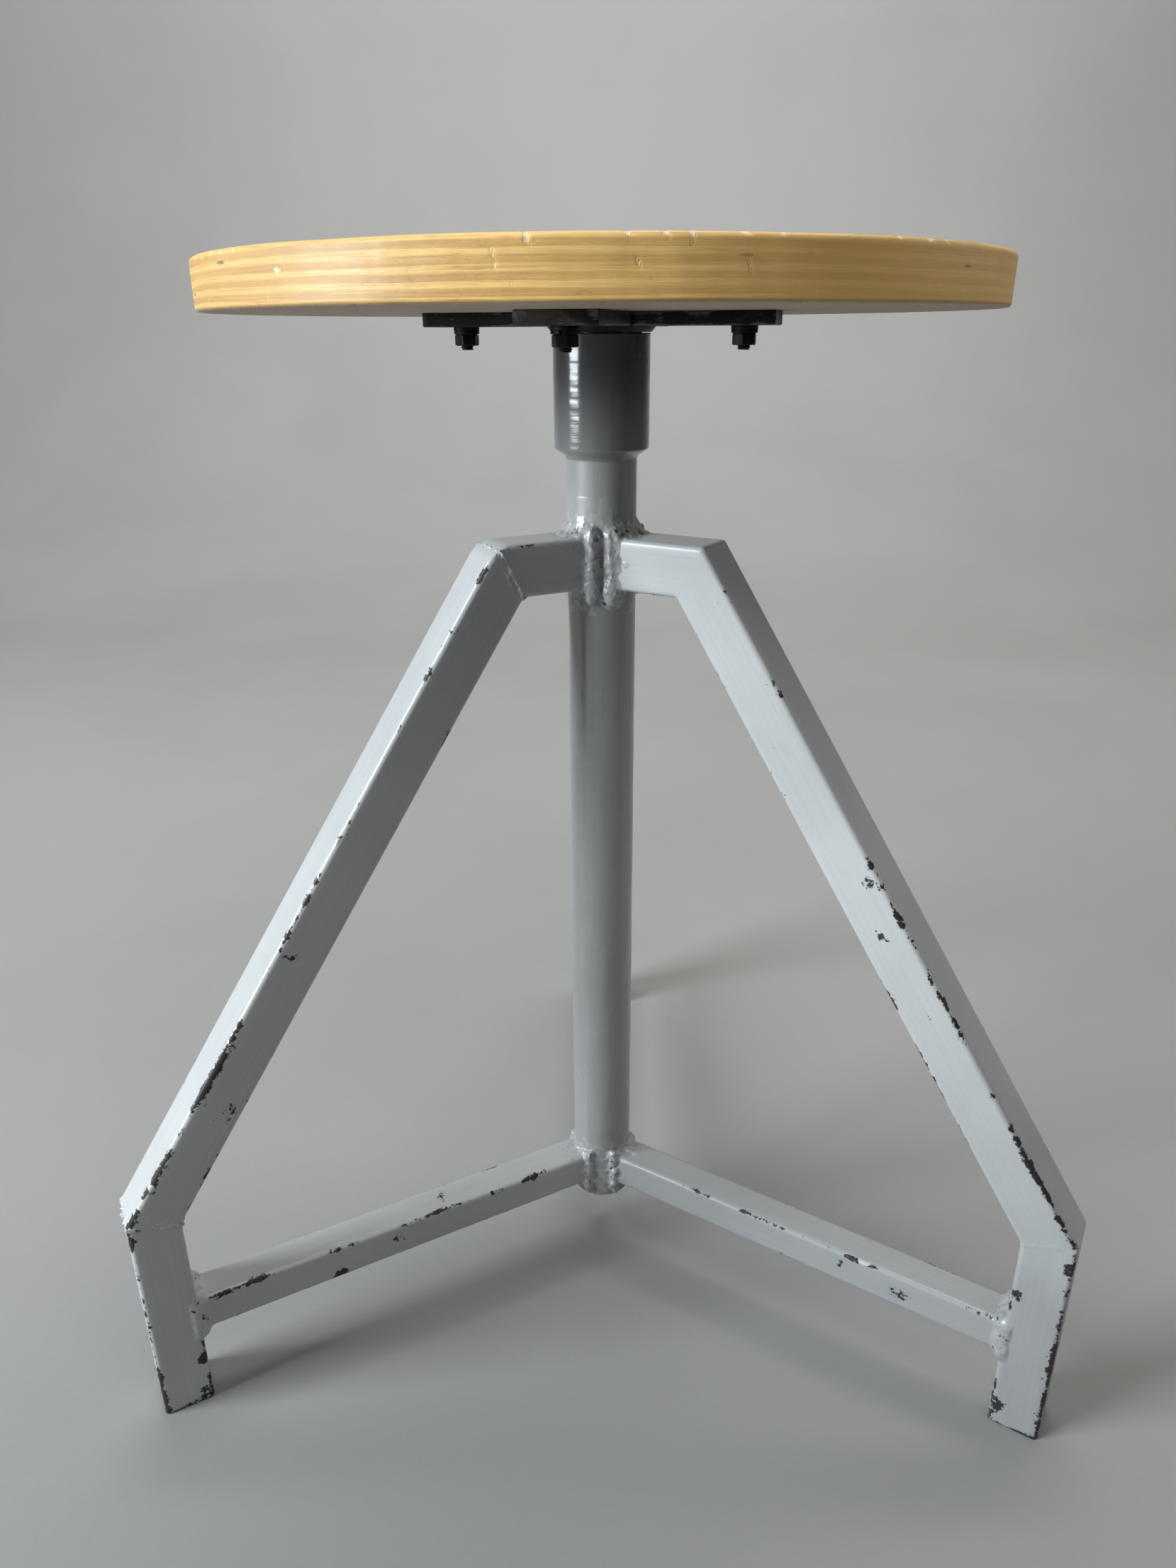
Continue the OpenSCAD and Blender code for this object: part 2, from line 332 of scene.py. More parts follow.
class SquareTube:
    """A square tube in a leg's own plane (radius, height), made ring by ring. start is the outer
    end of its first mitre, slope its fall below the horizontal, and worn the places of its wear."""

    def __init__(self, side, start, slope, worn):
        self.side, self.start, self.worn = side, np.array(start, float), worn
        self.bare_end = math.inf
        self.way = np.array((math.cos(slope), -math.sin(slope)))
        self.inward = np.array((-math.sin(slope), -math.cos(slope)))
        self.across, self.depth = tube_outline(side).T
        self.near, self.around = outline_layers(side, tube_outline(side))
        self.rings, self.layers = [], {"edge": [], "around": [], "along": [], "wear": []}

    def ring(self, along, across=None, depth=None, ridge=0.0):
        across = self.across if across is None else across
        depth = self.depth if depth is None else depth
        along = along + np.zeros(len(across))
        plane = self.start + np.outer(along, self.way) + np.outer(depth, self.inward)
        self.rings.append(np.stack([plane[:, 0], across, plane[:, 1]], axis=1))
        end_near = np.clip(1 - (self.bare_end - along) / EDGE_REACH, 0, 1)
        ridge_near = np.maximum(end_near, ridge * np.clip(1 - depth / 3, 0, 1))
        wear = worn_places(self.worn, self.side, across, depth, along)
        self.layers["edge"].append(np.maximum(self.near, ridge_near))
        self.layers["around"].append(self.around)
        self.layers["along"].append(along)
        self.layers["wear"].append(np.maximum(wear, 0.9 * end_near**2))

    def mitre(self, start, way, bend, rounding):
        """The rings of one mitre, given where it starts and its way along the tube, 1 or -1."""
        for distance, push in mitre_rings(bend, rounding)[::way]:
            depth = self.depth + push * np.clip(1 - self.depth / 5, 0, 1)
            ridge = bool(push) and rounding < GROUND_ROUND
            self.ring(start + way * (distance + depth * math.tan(bend / 2)), depth=depth, ridge=ridge)

    def run(self, length, bends=(0.0, 0.0), rounds=(BEND_R, BEND_R), cope_r=0.0, rim=0.0):
        """The rings of the tube, with the bend at each end and the radius that rounds its outer
        corner. cope_r fits the start round the column, and the end stays short by rim, for a foot."""
        if rim:
            self.bare_end = length
        tilt_in, tilt_out = (math.tan(bend / 2) for bend in bends)
        cope = np.sqrt(np.maximum(cope_r**2 - self.across**2, 0))
        low, short = (mitre_rings(bend, rounding)[-1][0] for bend, rounding in zip(bends, rounds))
        high = length - max(short, rim)
        self.mitre(cope, 1, bends[0], rounds[0])
        for along in rows_between(low, high, 4.0)[1 : -1 if not rim else None]:
            share = (along - low) / (high - low)
            tilt = tilt_in * (1 - share) - tilt_out * share
            self.ring(cope * (1 - share) + along + self.depth * tilt)
        if not rim:
            self.mitre(length, -1, bends[1], rounds[1])
        return self

    def foot_rim(self, length, rim):
        """Rounds the foot's lower edge and turns up inside, round the plate."""
        for a in np.linspace(0, math.pi / 2, 4)[1:]:
            shrink = 1 - 2 * rim * (1 - math.cos(a)) / self.side
            depth = self.side / 2 + (self.depth - self.side / 2) * shrink
            self.ring(length - rim * (1 - math.sin(a)), self.across * shrink, depth)
        inner_across, inner_depth = tube_outline(self.side, WALL).T
        for along in (length, length - PLATE_TOP):
            self.ring(along, inner_across, inner_depth)
        return self

    def shape(self, turn):
        layers = {name: np.concatenate(values) for name, values in self.layers.items()}
        faces = capped_grid(len(self.rings), len(self.across))
        return Shape(np.concatenate(self.rings), faces, **layers).moved(turn)


# ---------------------------------------------------------------- welds

# How far a weld's skin lies under the bare parts, how far out its paint counts as weld paint
# through and through, a distance that is past everything, and the steps of the grids
SINK = 0.08
FULL_WELD = 1.5
FAR_OFF = 1e3
FINE_STEP, COARSE_STEP = 0.5, 0.55


def melt(a, b, size):
    """Joins two distance fields and fills the corner between them."""
    gap = np.maximum(size - np.abs(a - b), 0) / size
    return np.minimum(a, b) - gap * gap * size / 4


def bar_field(points, side, middle, slope=0.0):
    """Distance to an endless square tube whose centre line passes through middle (radius,
    height) in the plane Y = 0, and falls by slope."""
    x, y, z = points[..., 0] - middle[0], points[..., 1], points[..., 2] - middle[1]
    v = x * math.sin(slope) + z * math.cos(slope)
    a = np.abs(y) - side / 2 + CORNER_R
    b = np.abs(v) - side / 2 + CORNER_R
    return np.hypot(np.maximum(a, 0), np.maximum(b, 0)) + np.minimum(np.maximum(a, b), 0) - CORNER_R


def drops(points, centres, radii):
    """Distance to a row of melted drops of metal."""
    field = np.full(points.shape[:-1], FAR_OFF)
    for centre, radius in zip(centres, radii):
        field = melt(field, np.linalg.norm(points - np.array(centre), axis=-1) - radius, 2.5)
    return field


def turn_back(points, angle):
    """Points in the frame of a leg that stands at an angle."""
    c, s = math.cos(angle), math.sin(angle)
    x, y, z = points[..., 0], points[..., 1], points[..., 2]
    return np.stack([c * x + s * y, c * y - s * x, z], axis=-1)


def weld(low, high, step, field):
    """A closed skin over a joint. field gives the distance to the bare parts and to the weld,
    which lies just under their surfaces away from the joint."""
    step *= 1
    axes = [np.arange(a, b + step / 2, step) for a, b in zip(low, high)]
    points = np.stack(np.meshgrid(*axes, indexing="ij"), axis=-1)
    bare, metal = field(points)
    metal = metal + SINK
    for axis, line in enumerate(axes):
        side = 1.01 * step - np.minimum(line - line[0], line[-1] - line)
        shape = [1, 1, 1]
        shape[axis] = len(line)
        metal = np.maximum(metal, side.reshape(shape))
    grid = openvdb.FloatGrid(5.0)
    grid.copyFromArray(metal.astype(np.float32))
    corners, quads = grid.convertToQuads(0.0)
    spots = np.clip(np.rint(corners).astype(int), 0, np.array(metal.shape) - 1)
    proud = bare[tuple(spots.T)]
    return Shape(np.array(low) + corners * step, quads, weld=np.clip(proud / FULL_WELD, 0, 1))


# ================================================================ materials


class Value:
    """A node's output, which takes sums and products with numbers and other outputs."""

    def __init__(self, finish, socket):
        self.finish, self.socket = finish, socket

    def __add__(self, other):
        return self.finish.math("ADD", self, other)

    def __sub__(self, other):
        return self.finish.math("SUBTRACT", self, other)

    def __rsub__(self, other):
        return self.finish.math("SUBTRACT", other, self)

    def __mul__(self, other):
        return self.finish.math("MULTIPLY", self, other)

    __radd__, __rmul__ = __add__, __mul__


class Finish:
    """Builds one material's nodes. An input takes a number, a colour or another node's output."""

    def __init__(self, name):
        self.material = bpy.data.materials.new(name)
        self.material.use_nodes = True
        self.tree = self.material.node_tree
        self.tree.nodes.clear()
        self.shader = self.tree.nodes.new("ShaderNodeBsdfPrincipled")
        output = self.tree.nodes.new("ShaderNodeOutputMaterial")
        self.tree.links.new(self.shader.outputs["BSDF"], output.inputs["Surface"])
        self.place = Value(self, self.tree.nodes.new("ShaderNodeTexCoord").outputs["Object"])

    def put(self, socket, value):
        if isinstance(value, Value):
            self.tree.links.new(value.socket, socket)
        elif isinstance(value, tuple) and len(value) == 3 and socket.type == "RGBA":
            socket.default_value = (*value, 1.0)
        else:
            socket.default_value = value

    def new(self, kind, settings=None, **inputs):
        node = self.tree.nodes.new("ShaderNode" + kind)
        for name, value in (settings or {}).items():
            setattr(node, name, value)
        for name, value in inputs.items():
            self.put(node.inputs[name.replace("_", " ")], value)
        return node

    def node(self, kind, output=0, settings=None, **inputs):
        return Value(self, self.new(kind, settings, **inputs).outputs[output])

    def math(self, operation, *values, clamp=False):
        node = self.new("Math", {"operation": operation, "use_clamp": clamp})
        for socket, value in zip(node.inputs, values):
            self.put(socket, value)
        return Value(self, node.outputs[0])

    def layer(self, name):
        """A value that the mesh holds at its points."""
        return self.node("Attribute", 2, {"attribute_name": name})

    def axes(self):
        return [Value(self, socket) for socket in self.new("SeparateXYZ", Vector=self.place).outputs]

    def stretched(self, sizes, turn=0.0):
        """Coordinates in units of three sizes in millimetres, along axes turned round Z."""
        vector = self.node("Mapping", Vector=self.place, Rotation=(0, 0, turn)) if turn else self.place
        return self.node("Mapping", Vector=vector, Scale=tuple(1 / (size * MM) for size in sizes))

    def joined(self, x, y, z=0.0):
        return self.node("CombineXYZ", X=x, Y=y, Z=z)

    def noise(self, size, seed, detail=2.0, rough=0.5, twist=0.0, turn=0.0):
        """Noise from 0 to 1 whose bumps are about size millimetres across. size can be three sizes,
        along axes turned round Z, or coordinates of its own."""
        vector = size if isinstance(size, Value) else self.place
        if isinstance(size, tuple):
            vector = self.stretched(size, turn)
        return self.node(
            "TexNoise",
            settings={"noise_dimensions": "4D"},
            Vector=vector,
            W=seed,
            Scale=1.0 if isinstance(size, (tuple, Value)) else 1 / (size * MM),
            Detail=detail,
            Roughness=rough,
            Distortion=twist,
        )

    def fade(self, value, low, high, to_low=0.0, to_high=1.0):
        """Smooth step from to_low, where value is low, to to_high, where it is high."""
        return self.node(
            "MapRange",
            settings={"interpolation_type": "SMOOTHSTEP"},
            Value=value,
            From_Min=low,
            From_Max=high,
            To_Min=to_low,
            To_Max=to_high,
        )

    def swing(self, value, amount):
        """A value from 0 to 1 made into one that swings round 0, by amount in all."""
        return (value - 0.5) * amount

    def mix(self, share, a, b, blend="MIX"):
        node = self.new("Mix", {"data_type": "RGBA", "blend_type": blend})
        for index, value in ((0, share), (6, a), (7, b)):
            self.put(node.inputs[index], value)
        return Value(self, node.outputs[2])

    def coats(self, base, *coats):
        """Colours laid over a base, each as (how much of it shows, colour)."""
        for share, colour in coats:
            base = self.mix(share, base, colour)
        return base

    def tint(self, colour, value, amount):
        """Makes a colour lighter and darker with a value from 0 to 1, by amount either way."""
        bright = self.fade(value, 0.2, 0.8, 1 - amount, 1 + amount)
        return self.mix(1.0, colour, self.joined(bright, bright, bright), "MULTIPLY")

    def finish(self, colour, roughness, height, metallic=0.0, **fixed):
        """height is in millimetres. fixed gives the shader's other sockets."""
        bump = self.node("Bump", Strength=1.0, Distance=MM, Height=height)
        fixed.update(Base_Color=colour, Roughness=roughness, Metallic=metallic, Normal=bump)
        for name, value in fixed.items():
            self.put(self.shader.inputs[name.replace("_", " ")], value)
        return self.material


BARE_STEEL = (0.016, 0.012, 0.010)
RUST = (0.16, 0.055, 0.022)
SILVER = (0.55, 0.55, 0.54)
# How quickly paint gives way to steel at the edge of a chip
CHIP_EDGE = 0.006


def scaled(colour, *shares):
    """A colour made lighter or darker, by one share or one for each channel, and at most 0.9."""
    return tuple(min(c * s, 0.9) for c, s in zip(colour, shares * 3 if len(shares) == 1 else shares))


def brushed_paint(name, colour, chips, gloss, seed, brush=1.0, dirt_and_floor_shade=0.0):
    """Paint put on with a brush over steel, with chips along the edges down to dark steel. The last
    argument sets painted shade that darkens it towards the floor."""
    f = Finish(name)
    edge, wear, weld_skin, along, around = map(f.layer, ("edge", "wear", "weld", "along", "around"))
    # Brush marks run the length of a tube
    strokes = f.noise(f.joined(along * 0.014, around * 0.75), seed, 3, 0.6)
    sags = f.noise(f.joined(along * 0.03, around * 0.14), seed + 1, 1)
    peel = f.noise(2.2, seed + 2)
    cloud = f.noise(70, seed + 3, 3)
    fine = f.noise(0.7, seed + 4)
    nibs = f.fade(f.node("TexVoronoi", Scale=1 / (9 * MM)), 0.03, 0.075, 1.0, 0.0)

    # Chips: jagged spots that grow along edges and in worn places
    jagged = f.noise(4.4, seed + 5, 7, 0.70) * 0.7 + f.noise(1.5, seed + 6, 3, 0.7) * 0.3
    cluster = f.fade(f.noise(30, seed + 7), 0.42, 0.66)
    sharp_edge = f.math("POWER", edge, 3.5)
    on_edges = sharp_edge * (cluster + 0.35) * (0.115 * chips)
    in_worn_places = wear * (edge * 0.65 + 0.35) * 0.245
    level = jagged + on_edges + in_worn_places - 0.668
    chip = f.fade(level, 0.0, CHIP_EDGE)
    rim = f.fade(level, -0.010, 0.002)
    rust = f.fade(f.noise(4.0, seed + 8, 4, 0.7), 0.56, 0.68)
    silver = f.fade(f.noise(11, seed + 9, 1), 0.72, 0.74)

    # Scratches across the tube, and pits and dirt in the hollows of the welds
    scratch = f.fade(f.noise((16, 0.5, 3.2), seed + 10, turn=0.7), 0.745, 0.765) * f.fade(cloud, 0.5, 0.58)
    pits = f.fade(weld_skin, 0.1, 0.3) * f.fade(f.noise(2.8, seed + 11, 4, 0.62), 0.625, 0.64)
    grime = f.fade(weld_skin, 0.0, 0.2) * f.fade(f.noise(3.2, seed + 13, 4, 0.65), 0.50, 0.62)
    gone = f.math("MAXIMUM", chip, pits)

    coats = [
        (sharp_edge * 0.10, (0.62, 0.64, 0.64)),
        (f.fade(f.noise(28, seed + 12, 5, 0.65), 0.56, 0.78, 0.0, 0.35), scaled(colour, 0.80, 0.78, 0.73)),
    ]
    # Painted shade: the paint turns darker towards the floor
    if dirt_and_floor_shade:
        low = f.fade(f.axes()[2] + f.swing(cloud, 0.08), 0.07, 0.24, dirt_and_floor_shade, 0.0)
        coats.append((low, scaled(colour, 0.15)))
    coats += [
        (scratch * 0.55, scaled(colour, 0.55)),
        (grime * 0.4, scaled(colour, 0.4)),
        (f.math("SUBTRACT", rim, chip, clamp=True) * 0.5, scaled(colour, 0.45)),
        (gone, f.coats(BARE_STEEL, (rust, RUST), (silver, SILVER))),
    ]
    shade = f.coats(f.tint(f.tint(colour, cloud, 0.07), strokes, 0.05 * brush), *coats)
    rough = gloss + f.swing(cloud, 0.18) + f.swing(strokes, 0.14 * brush) + gone * 0.4
    height = (
        strokes * (0.05 * brush) + sags * (0.10 * brush) + peel * 0.035 + fine * 0.006
        + nibs * 0.10 + gone * -0.16 + scratch * -0.03
    )
    bright = silver * chip * 0.9
    return f.finish(shade, rough, height, metallic=bright, Coat_Weight=0.25, Coat_Roughness=0.22)


def turned_paint():
    """Glossy paint on the turned sleeve, which shows the ripples of the turning."""
    f = Finish("sleeve_paint")
    ripple = f.noise((40, 40, 0.8), 3, rough=0.6)
    swell = f.noise((25, 25, 9), 4)
    runs = f.noise((2.4, 2.4, 60), 8, 3, 0.55)
    peel = f.noise(1.6, 5)
    cloud = f.noise(22, 6, 4)
    level = f.noise(5.5, 7, 7, 0.7) + f.math("POWER", f.layer("edge"), 2.0) * 0.15 - 0.735
    chip = f.fade(level, 0.0, CHIP_EDGE)
    # Painted shade of the seat: the sleeve's paint is darker than the column's, and darker still towards the
    # top
    painted_seat_shade = f.fade(f.axes()[2] + f.swing(cloud, 0.012), (NUT_LOW + 6) * MM, (NUT_TOP - 12) * MM)
    paint = f.mix(painted_seat_shade, (0.20, 0.206, 0.198), (0.070, 0.073, 0.069))
    paint = f.tint(f.tint(paint, cloud, 0.09), runs, 0.05)
    patch = f.fade(f.noise(30, 9), 0.5, 0.7, 0.0, 0.25)
    shade = f.coats(paint, (patch, (0.14, 0.125, 0.105)), (chip, BARE_STEEL))
    rough = 0.16 + cloud * 0.08 + chip * 0.4
    height = ripple * 0.07 + swell * 0.05 + runs * 0.02 + peel * 0.008 + chip * -0.15
    return f.finish(shade, rough, height, Coat_Weight=0.5, Coat_Roughness=0.09)


PLIES = 9


def plywood():
    """Lacquered beech plywood: a block of thin layers whose grain crosses from one to the next,
    with a worn clear finish on its top and rim and bare old wood below."""
    f = Finish("plywood")
    x, y, z = f.axes()
    radius = f.math("SQRT", x * x + y * y)
    wave = f.swing(f.noise((80, 80, 9), 20, 3, 0.55), 3.4 * MM)
    level = f.math("DIVIDE", z + wave - SEAT_LOW * MM, (SEAT_TOP - SEAT_LOW) / PLIES * MM)
    band = f.math("SINE", level * math.pi)
    odd = f.fade(band, -0.45, 0.45)
    glue = f.fade(f.math("ABSOLUTE", band), 0.0, 0.28, 1.0, 0.0)
    tone = f.noise((75, 75, 2.6), 19)

    # Long streaks where a layer's grain follows the rim, short dark flecks where it ends there
    along_x = f.noise((70, 1.5, 0.55), 21, 5, 0.62, 0.2)
    along_y = f.noise((1.5, 70, 0.55), 22, 5, 0.62, 0.2)
    streak = along_x * odd + along_y * (1.0 - odd)
    flow = f.noise((48, 48, 0.8), 23, 5, 0.62, 0.3)
    line = f.noise((55, 55, 0.5), 38, 4, 0.6, 0.15)

    pale, honey, tan = (0.90, 0.58, 0.205), (0.56, 0.315, 0.098), (0.42, 0.23, 0.072)
    wood = f.coats(
        f.mix(f.swing(tone, 1.7) + odd * 0.8 + 0.10, honey, pale),
        (f.fade(streak, 0.45, 0.75, 0.0, 0.55), tan),
        (f.fade(flow, 0.50, 0.66, 0.0, 0.62), tan),
        (f.fade(line, 0.56, 0.72, 0.0, 0.6), (0.34, 0.18, 0.06)),
        (f.fade(line, 0.44, 0.32, 0.0, 0.5), (0.90, 0.60, 0.24)),
        (glue * 0.22, (0.36, 0.20, 0.075)),
    )

    # Painted light makes the rim brighter and redder towards +X and painted shade makes it greyer towards -X,
    # with small knots and stains
    painted_light_right = f.fade(x + f.swing(f.noise(60, 24), 0.12), -0.06, 0.10)
    painted_shade_left = f.fade(x * -1.0, 0.02, 0.13)
    knot_place = f.node("TexVoronoi", Vector=f.stretched((52, 52, 9)), Scale=1.0)
    knot = f.fade(knot_place + f.noise(2, 25) * 0.06, 0.085, 0.13, 1.0, 0.0)
    stain = f.fade(f.noise((14, 14, 4), 26, 4, 0.7), 0.64, 0.72)
    wood = f.coats(
        wood,
        (painted_light_right * 0.68, (1.0, 0.63, 0.215)),
        (painted_shade_left * 0.4, (0.47, 0.30, 0.135)),
        (knot * 0.7, (0.13, 0.07, 0.035)),
        (stain * (0.25 + painted_light_right * 0.35), (0.22, 0.16, 0.11)),
    )

    # Face veneer on top
    on_top = f.fade(z, (SEAT_TOP - 0.5) * MM, (SEAT_TOP - 0.2) * MM)
    figure = f.noise((120, 5.5, 400), 27, 4, 0.6, 0.6)
    rays = f.noise((5, 0.45, 400), 28, 3, 0.7)
    rubbed = f.fade(f.noise(45, 29, 5, 0.6) + radius * 0.6, 0.56, 0.72)
    face = f.coats(
        (0.70, 0.43, 0.165),
        (f.fade(figure, 0.35, 0.68), (0.50, 0.275, 0.095)),
        (f.fade(rays, 0.60, 0.72, 0.0, 0.5), (0.33, 0.17, 0.06)),
        (rubbed * 0.35, (0.74, 0.53, 0.28)),
    )

    # Bare underside
    below = f.fade(z, (SEAT_LOW + 0.12) * MM, (SEAT_LOW + 0.5) * MM, 1.0, 0.0)
    grain = f.noise((80, 2.2, 400), 30, 5, 0.65, 0.3)
    bare = f.coats(
        (0.46, 0.37, 0.29),
        (f.fade(grain, 0.35, 0.7), (0.33, 0.245, 0.18)),
        (f.fade(f.noise(38, 31, 5, 0.6), 0.5, 0.7, 0.0, 0.6), (0.27, 0.235, 0.20)),
        (f.fade(f.noise(2.6, 32, 5, 0.7), 0.61, 0.65), (0.03, 0.024, 0.02)),
    )

    # Dirt and painted shade on the lower edge, nicks that show raw wood, and scratches up and down the rim
    low_edge_dirt_and_shade = f.fade(z, (SEAT_LOW + 0.4) * MM, (SEAT_LOW + 1.6) * MM, 1.0, 0.0)
    raw = f.fade(f.layer("nick") + f.swing(f.noise(1.0, 33, 3), 0.9), 0.30, 0.62)
    scratch = f.fade(f.noise((0.8, 0.8, 14), 34, 1), 0.775, 0.79) * (1.0 - on_top)
    wood = f.coats(
        wood,
        (on_top, face),
        (below, bare),
        (low_edge_dirt_and_shade * (1.0 - below) * 0.55, (0.16, 0.09, 0.045)),
        (raw * 0.7, (0.95, 0.78, 0.54)),
        (scratch * 0.6, (0.86, 0.68, 0.42)),
    )

    rough = 0.40 + f.noise(12, 35, 4, 0.6) * 0.18 + below * 0.4 + raw * 0.3 + rubbed * 0.08
    height = (
        streak * -0.05 + line * ((1.0 - on_top) * -0.08) + glue * -0.02 + rays * (on_top * -0.03)
        + grain * (below * -0.12) + f.noise(9, 36) * 0.10 + scratch * -0.03
        + raw * (f.noise(0.6, 37) * 0.2) + knot * -0.05
    )
    coat = {"Coat_Weight": 0.15, "Coat_Roughness": 0.30, "Coat_IOR": 1.5, "Specular_IOR_Level": 0.36}
    return f.finish(wood, rough, height, **coat)


def bracket_paint():
    """Thin black paint on flat bar, rubbed through to grey mill scale and brown rust."""
    f = Finish("black_paint")
    edge, end = f.layer("edge"), f.layer("end")
    cloud = f.noise(24, 40, 5, 0.6)
    brushed = f.noise((22, 0.9, 0.9), 41, 4, 0.6, turn=-BRACKET_TURN)
    pitted = f.noise(1.5, 42, 4, 0.65)
    rubbed = f.fade(cloud + brushed * 0.35 + f.math("POWER", edge, 3.0) * 0.16, 0.80, 0.87)
    rust = f.fade(f.noise(17, 43, 5, 0.7) + end * 0.15, 0.60, 0.70)
    marks = f.noise((9, 0.35, 1.2), 44, 1, turn=-BRACKET_TURN)
    scratch = f.fade(marks + end * 0.09, 0.74, 0.77)
    shade = f.coats(
        (0.003, 0.003, 0.003),
        (f.fade(cloud, 0.3, 0.7), (0.008, 0.008, 0.008)),
        (rubbed * 0.85, (0.13, 0.13, 0.13)),
        (rust * 0.6, (0.050, 0.026, 0.016)),
        (scratch * 0.8, (0.26, 0.20, 0.15)),
    )
    rough = 0.36 + cloud * 0.2 + rust * 0.3
    height = brushed * 0.04 + pitted * 0.05 + rubbed * -0.05 + rust * 0.04 + scratch * -0.05
    return f.finish(shade, rough, height, metallic=rubbed * 0.4, Specular_IOR_Level=0.25)


def steel(name, dark, light, roughness, seed, grime=0.0, metallic=1.0, **fixed):
    """Machined or blackened steel with fine marks, and grease or grime in patches."""
    f = Finish(name)
    cloud = f.noise(7, seed, 5, 0.6)
    fine = f.noise(0.5, seed + 1, 3, 0.6)
    turning = f.noise((8, 8, 0.3), seed + 2)
    dirt_and_floor_shade = f.fade(f.noise(4, seed + 3, 4, 0.7), 0.46, 0.62) * grime
    shade = f.coats(
        dark,
        (f.fade(cloud, 0.3, 0.7), light),
        (f.fade(fine, 0.62, 0.7, 0.0, 0.5), scaled(light, 1.6)),
        (dirt_and_floor_shade, (0.022, 0.016, 0.011)),
    )
    rough = roughness + cloud * 0.15 + dirt_and_floor_shade * 0.25
    height = cloud * 0.05 + fine * 0.02 + turning * 0.02
    return f.finish(shade, rough, height, metallic=(1.0 - dirt_and_floor_shade) * metallic, **fixed)


FLOOR_COLOUR = (0.275, 0.273, 0.265)


def floor_finish():
    """Pale floor with faint clouds."""
    f = Finish("pale_floor")
    cloud = f.noise(320, 60, 5, 0.55)
    fine = f.noise(3, 61, 3)
    shade = f.tint(f.tint(FLOOR_COLOUR, cloud, 0.05), fine, 0.015)
    return f.finish(shade, 0.62 + cloud * 0.15, fine * 0.08)


# ================================================================ pieces

FRAME_COLOUR = (0.46, 0.473, 0.470)
COLUMN_COLOUR = (0.33, 0.338, 0.327)

# The right leg and the rear one get painted shade, darker towards the floor
leg_paint = {
    leg: brushed_paint("leg_paint_" + leg, FRAME_COLOUR, 1.0, 0.36, seed, dirt_and_floor_shade=dirt_and_floor_shade)
    for leg, seed, dirt_and_floor_shade in (("left", 0.0, 0.0), ("right", 20.0, 0.38), ("rear", 40.0, 0.2))
}
column_paint = brushed_paint("column_paint", COLUMN_COLOUR, 0.35, 0.27, 60.0, brush=0.3)
sleeve_paint = turned_paint()
wood = plywood()
black_paint = bracket_paint()
BLACK, SOFT_BLACK = (0.004, 0.004, 0.004), (0.013, 0.013, 0.014)
blackened = steel("blackened_steel", BLACK, SOFT_BLACK, 0.36, 100, 0.4, 0.5, Specular_IOR_Level=0.3)
thread_steel = steel("thread_steel", (0.16, 0.155, 0.15), (0.42, 0.41, 0.39), 0.26, 110, 0.9)
zinc = steel("dull_zinc", (0.24, 0.24, 0.235), (0.45, 0.45, 0.44), 0.36, 120, 0.4)


# ---------------------------------------------------------------- seat board

# Nicks in the rim: (degrees round from +X, millimetres below the top, depth, width, height), the
# last three in units of NICK_UNITS
NICK_UNITS = (0.45, 0.9, 0.9)
CHOSEN_NICKS = [
    (-150, 0.9, 1.4, 1.3, 2.7), (-146.5, 0.8, 1.4, 1.2, 2.4), (-143, 0.8, 1.5, 1.3, 2.7),
    (-139.5, 0.7, 1.2, 1.1, 2.2), (-136, 0.8, 1.3, 1.2, 2.4), (-96, 1.6, 1.3, 1.5, 2.4),
    (-99.5, 6.0, 1.0, 0.8, 1.6), (-99.2, 9.4, 1.0, 0.8, 2.2), (-86, 0.7, 1.2, 1.6, 1.3),
    (-82.2, 0.5, 1.3, 2.4, 1.5), (-79.6, 0.9, 1.0, 1.4, 1.8), (-74, 0.5, 0.9, 2.8, 1.0),
    (-70, 0.4, 0.8, 1.6, 0.9), (-85.0, 8.5, 0.9, 0.7, 2.4), (-73.6, 9.0, 0.8, 0.6, 3.0),
    (-66.6, 5.5, 0.8, 0.6, 2.2), (-55, 0.4, 0.9, 1.8, 1.0), (-50, 0.5, 0.8, 3.2, 0.9),
    (-47, 0.6, 0.9, 1.2, 1.2), (-127, 9.0, 0.7, 2.6, 1.8), (-108.5, 10.6, 0.4, 0.7, 0.9),
]


def seat_nicks():
    """The chosen nicks, and more of them scattered round the rest of the rim."""
    random = np.random.default_rng(7)
    nicks = [
        (degrees, below, *(unit * size for unit, size in zip(NICK_UNITS, sizes)))
        for degrees, below, *sizes in CHOSEN_NICKS
    ]
    for degrees in random.uniform(-30, 200, 26):
        low = random.uniform() < 0.25
        below = (SEAT_TOP - SEAT_LOW - 0.6) if low else abs(random.normal(0.4, 0.4))
        sizes = (random.uniform(*ends) for ends in ((0.2, 0.5), (0.6, 2.0), (0.6, 1.4)))
        nicks.append((degrees, below, *sizes))
    return nicks


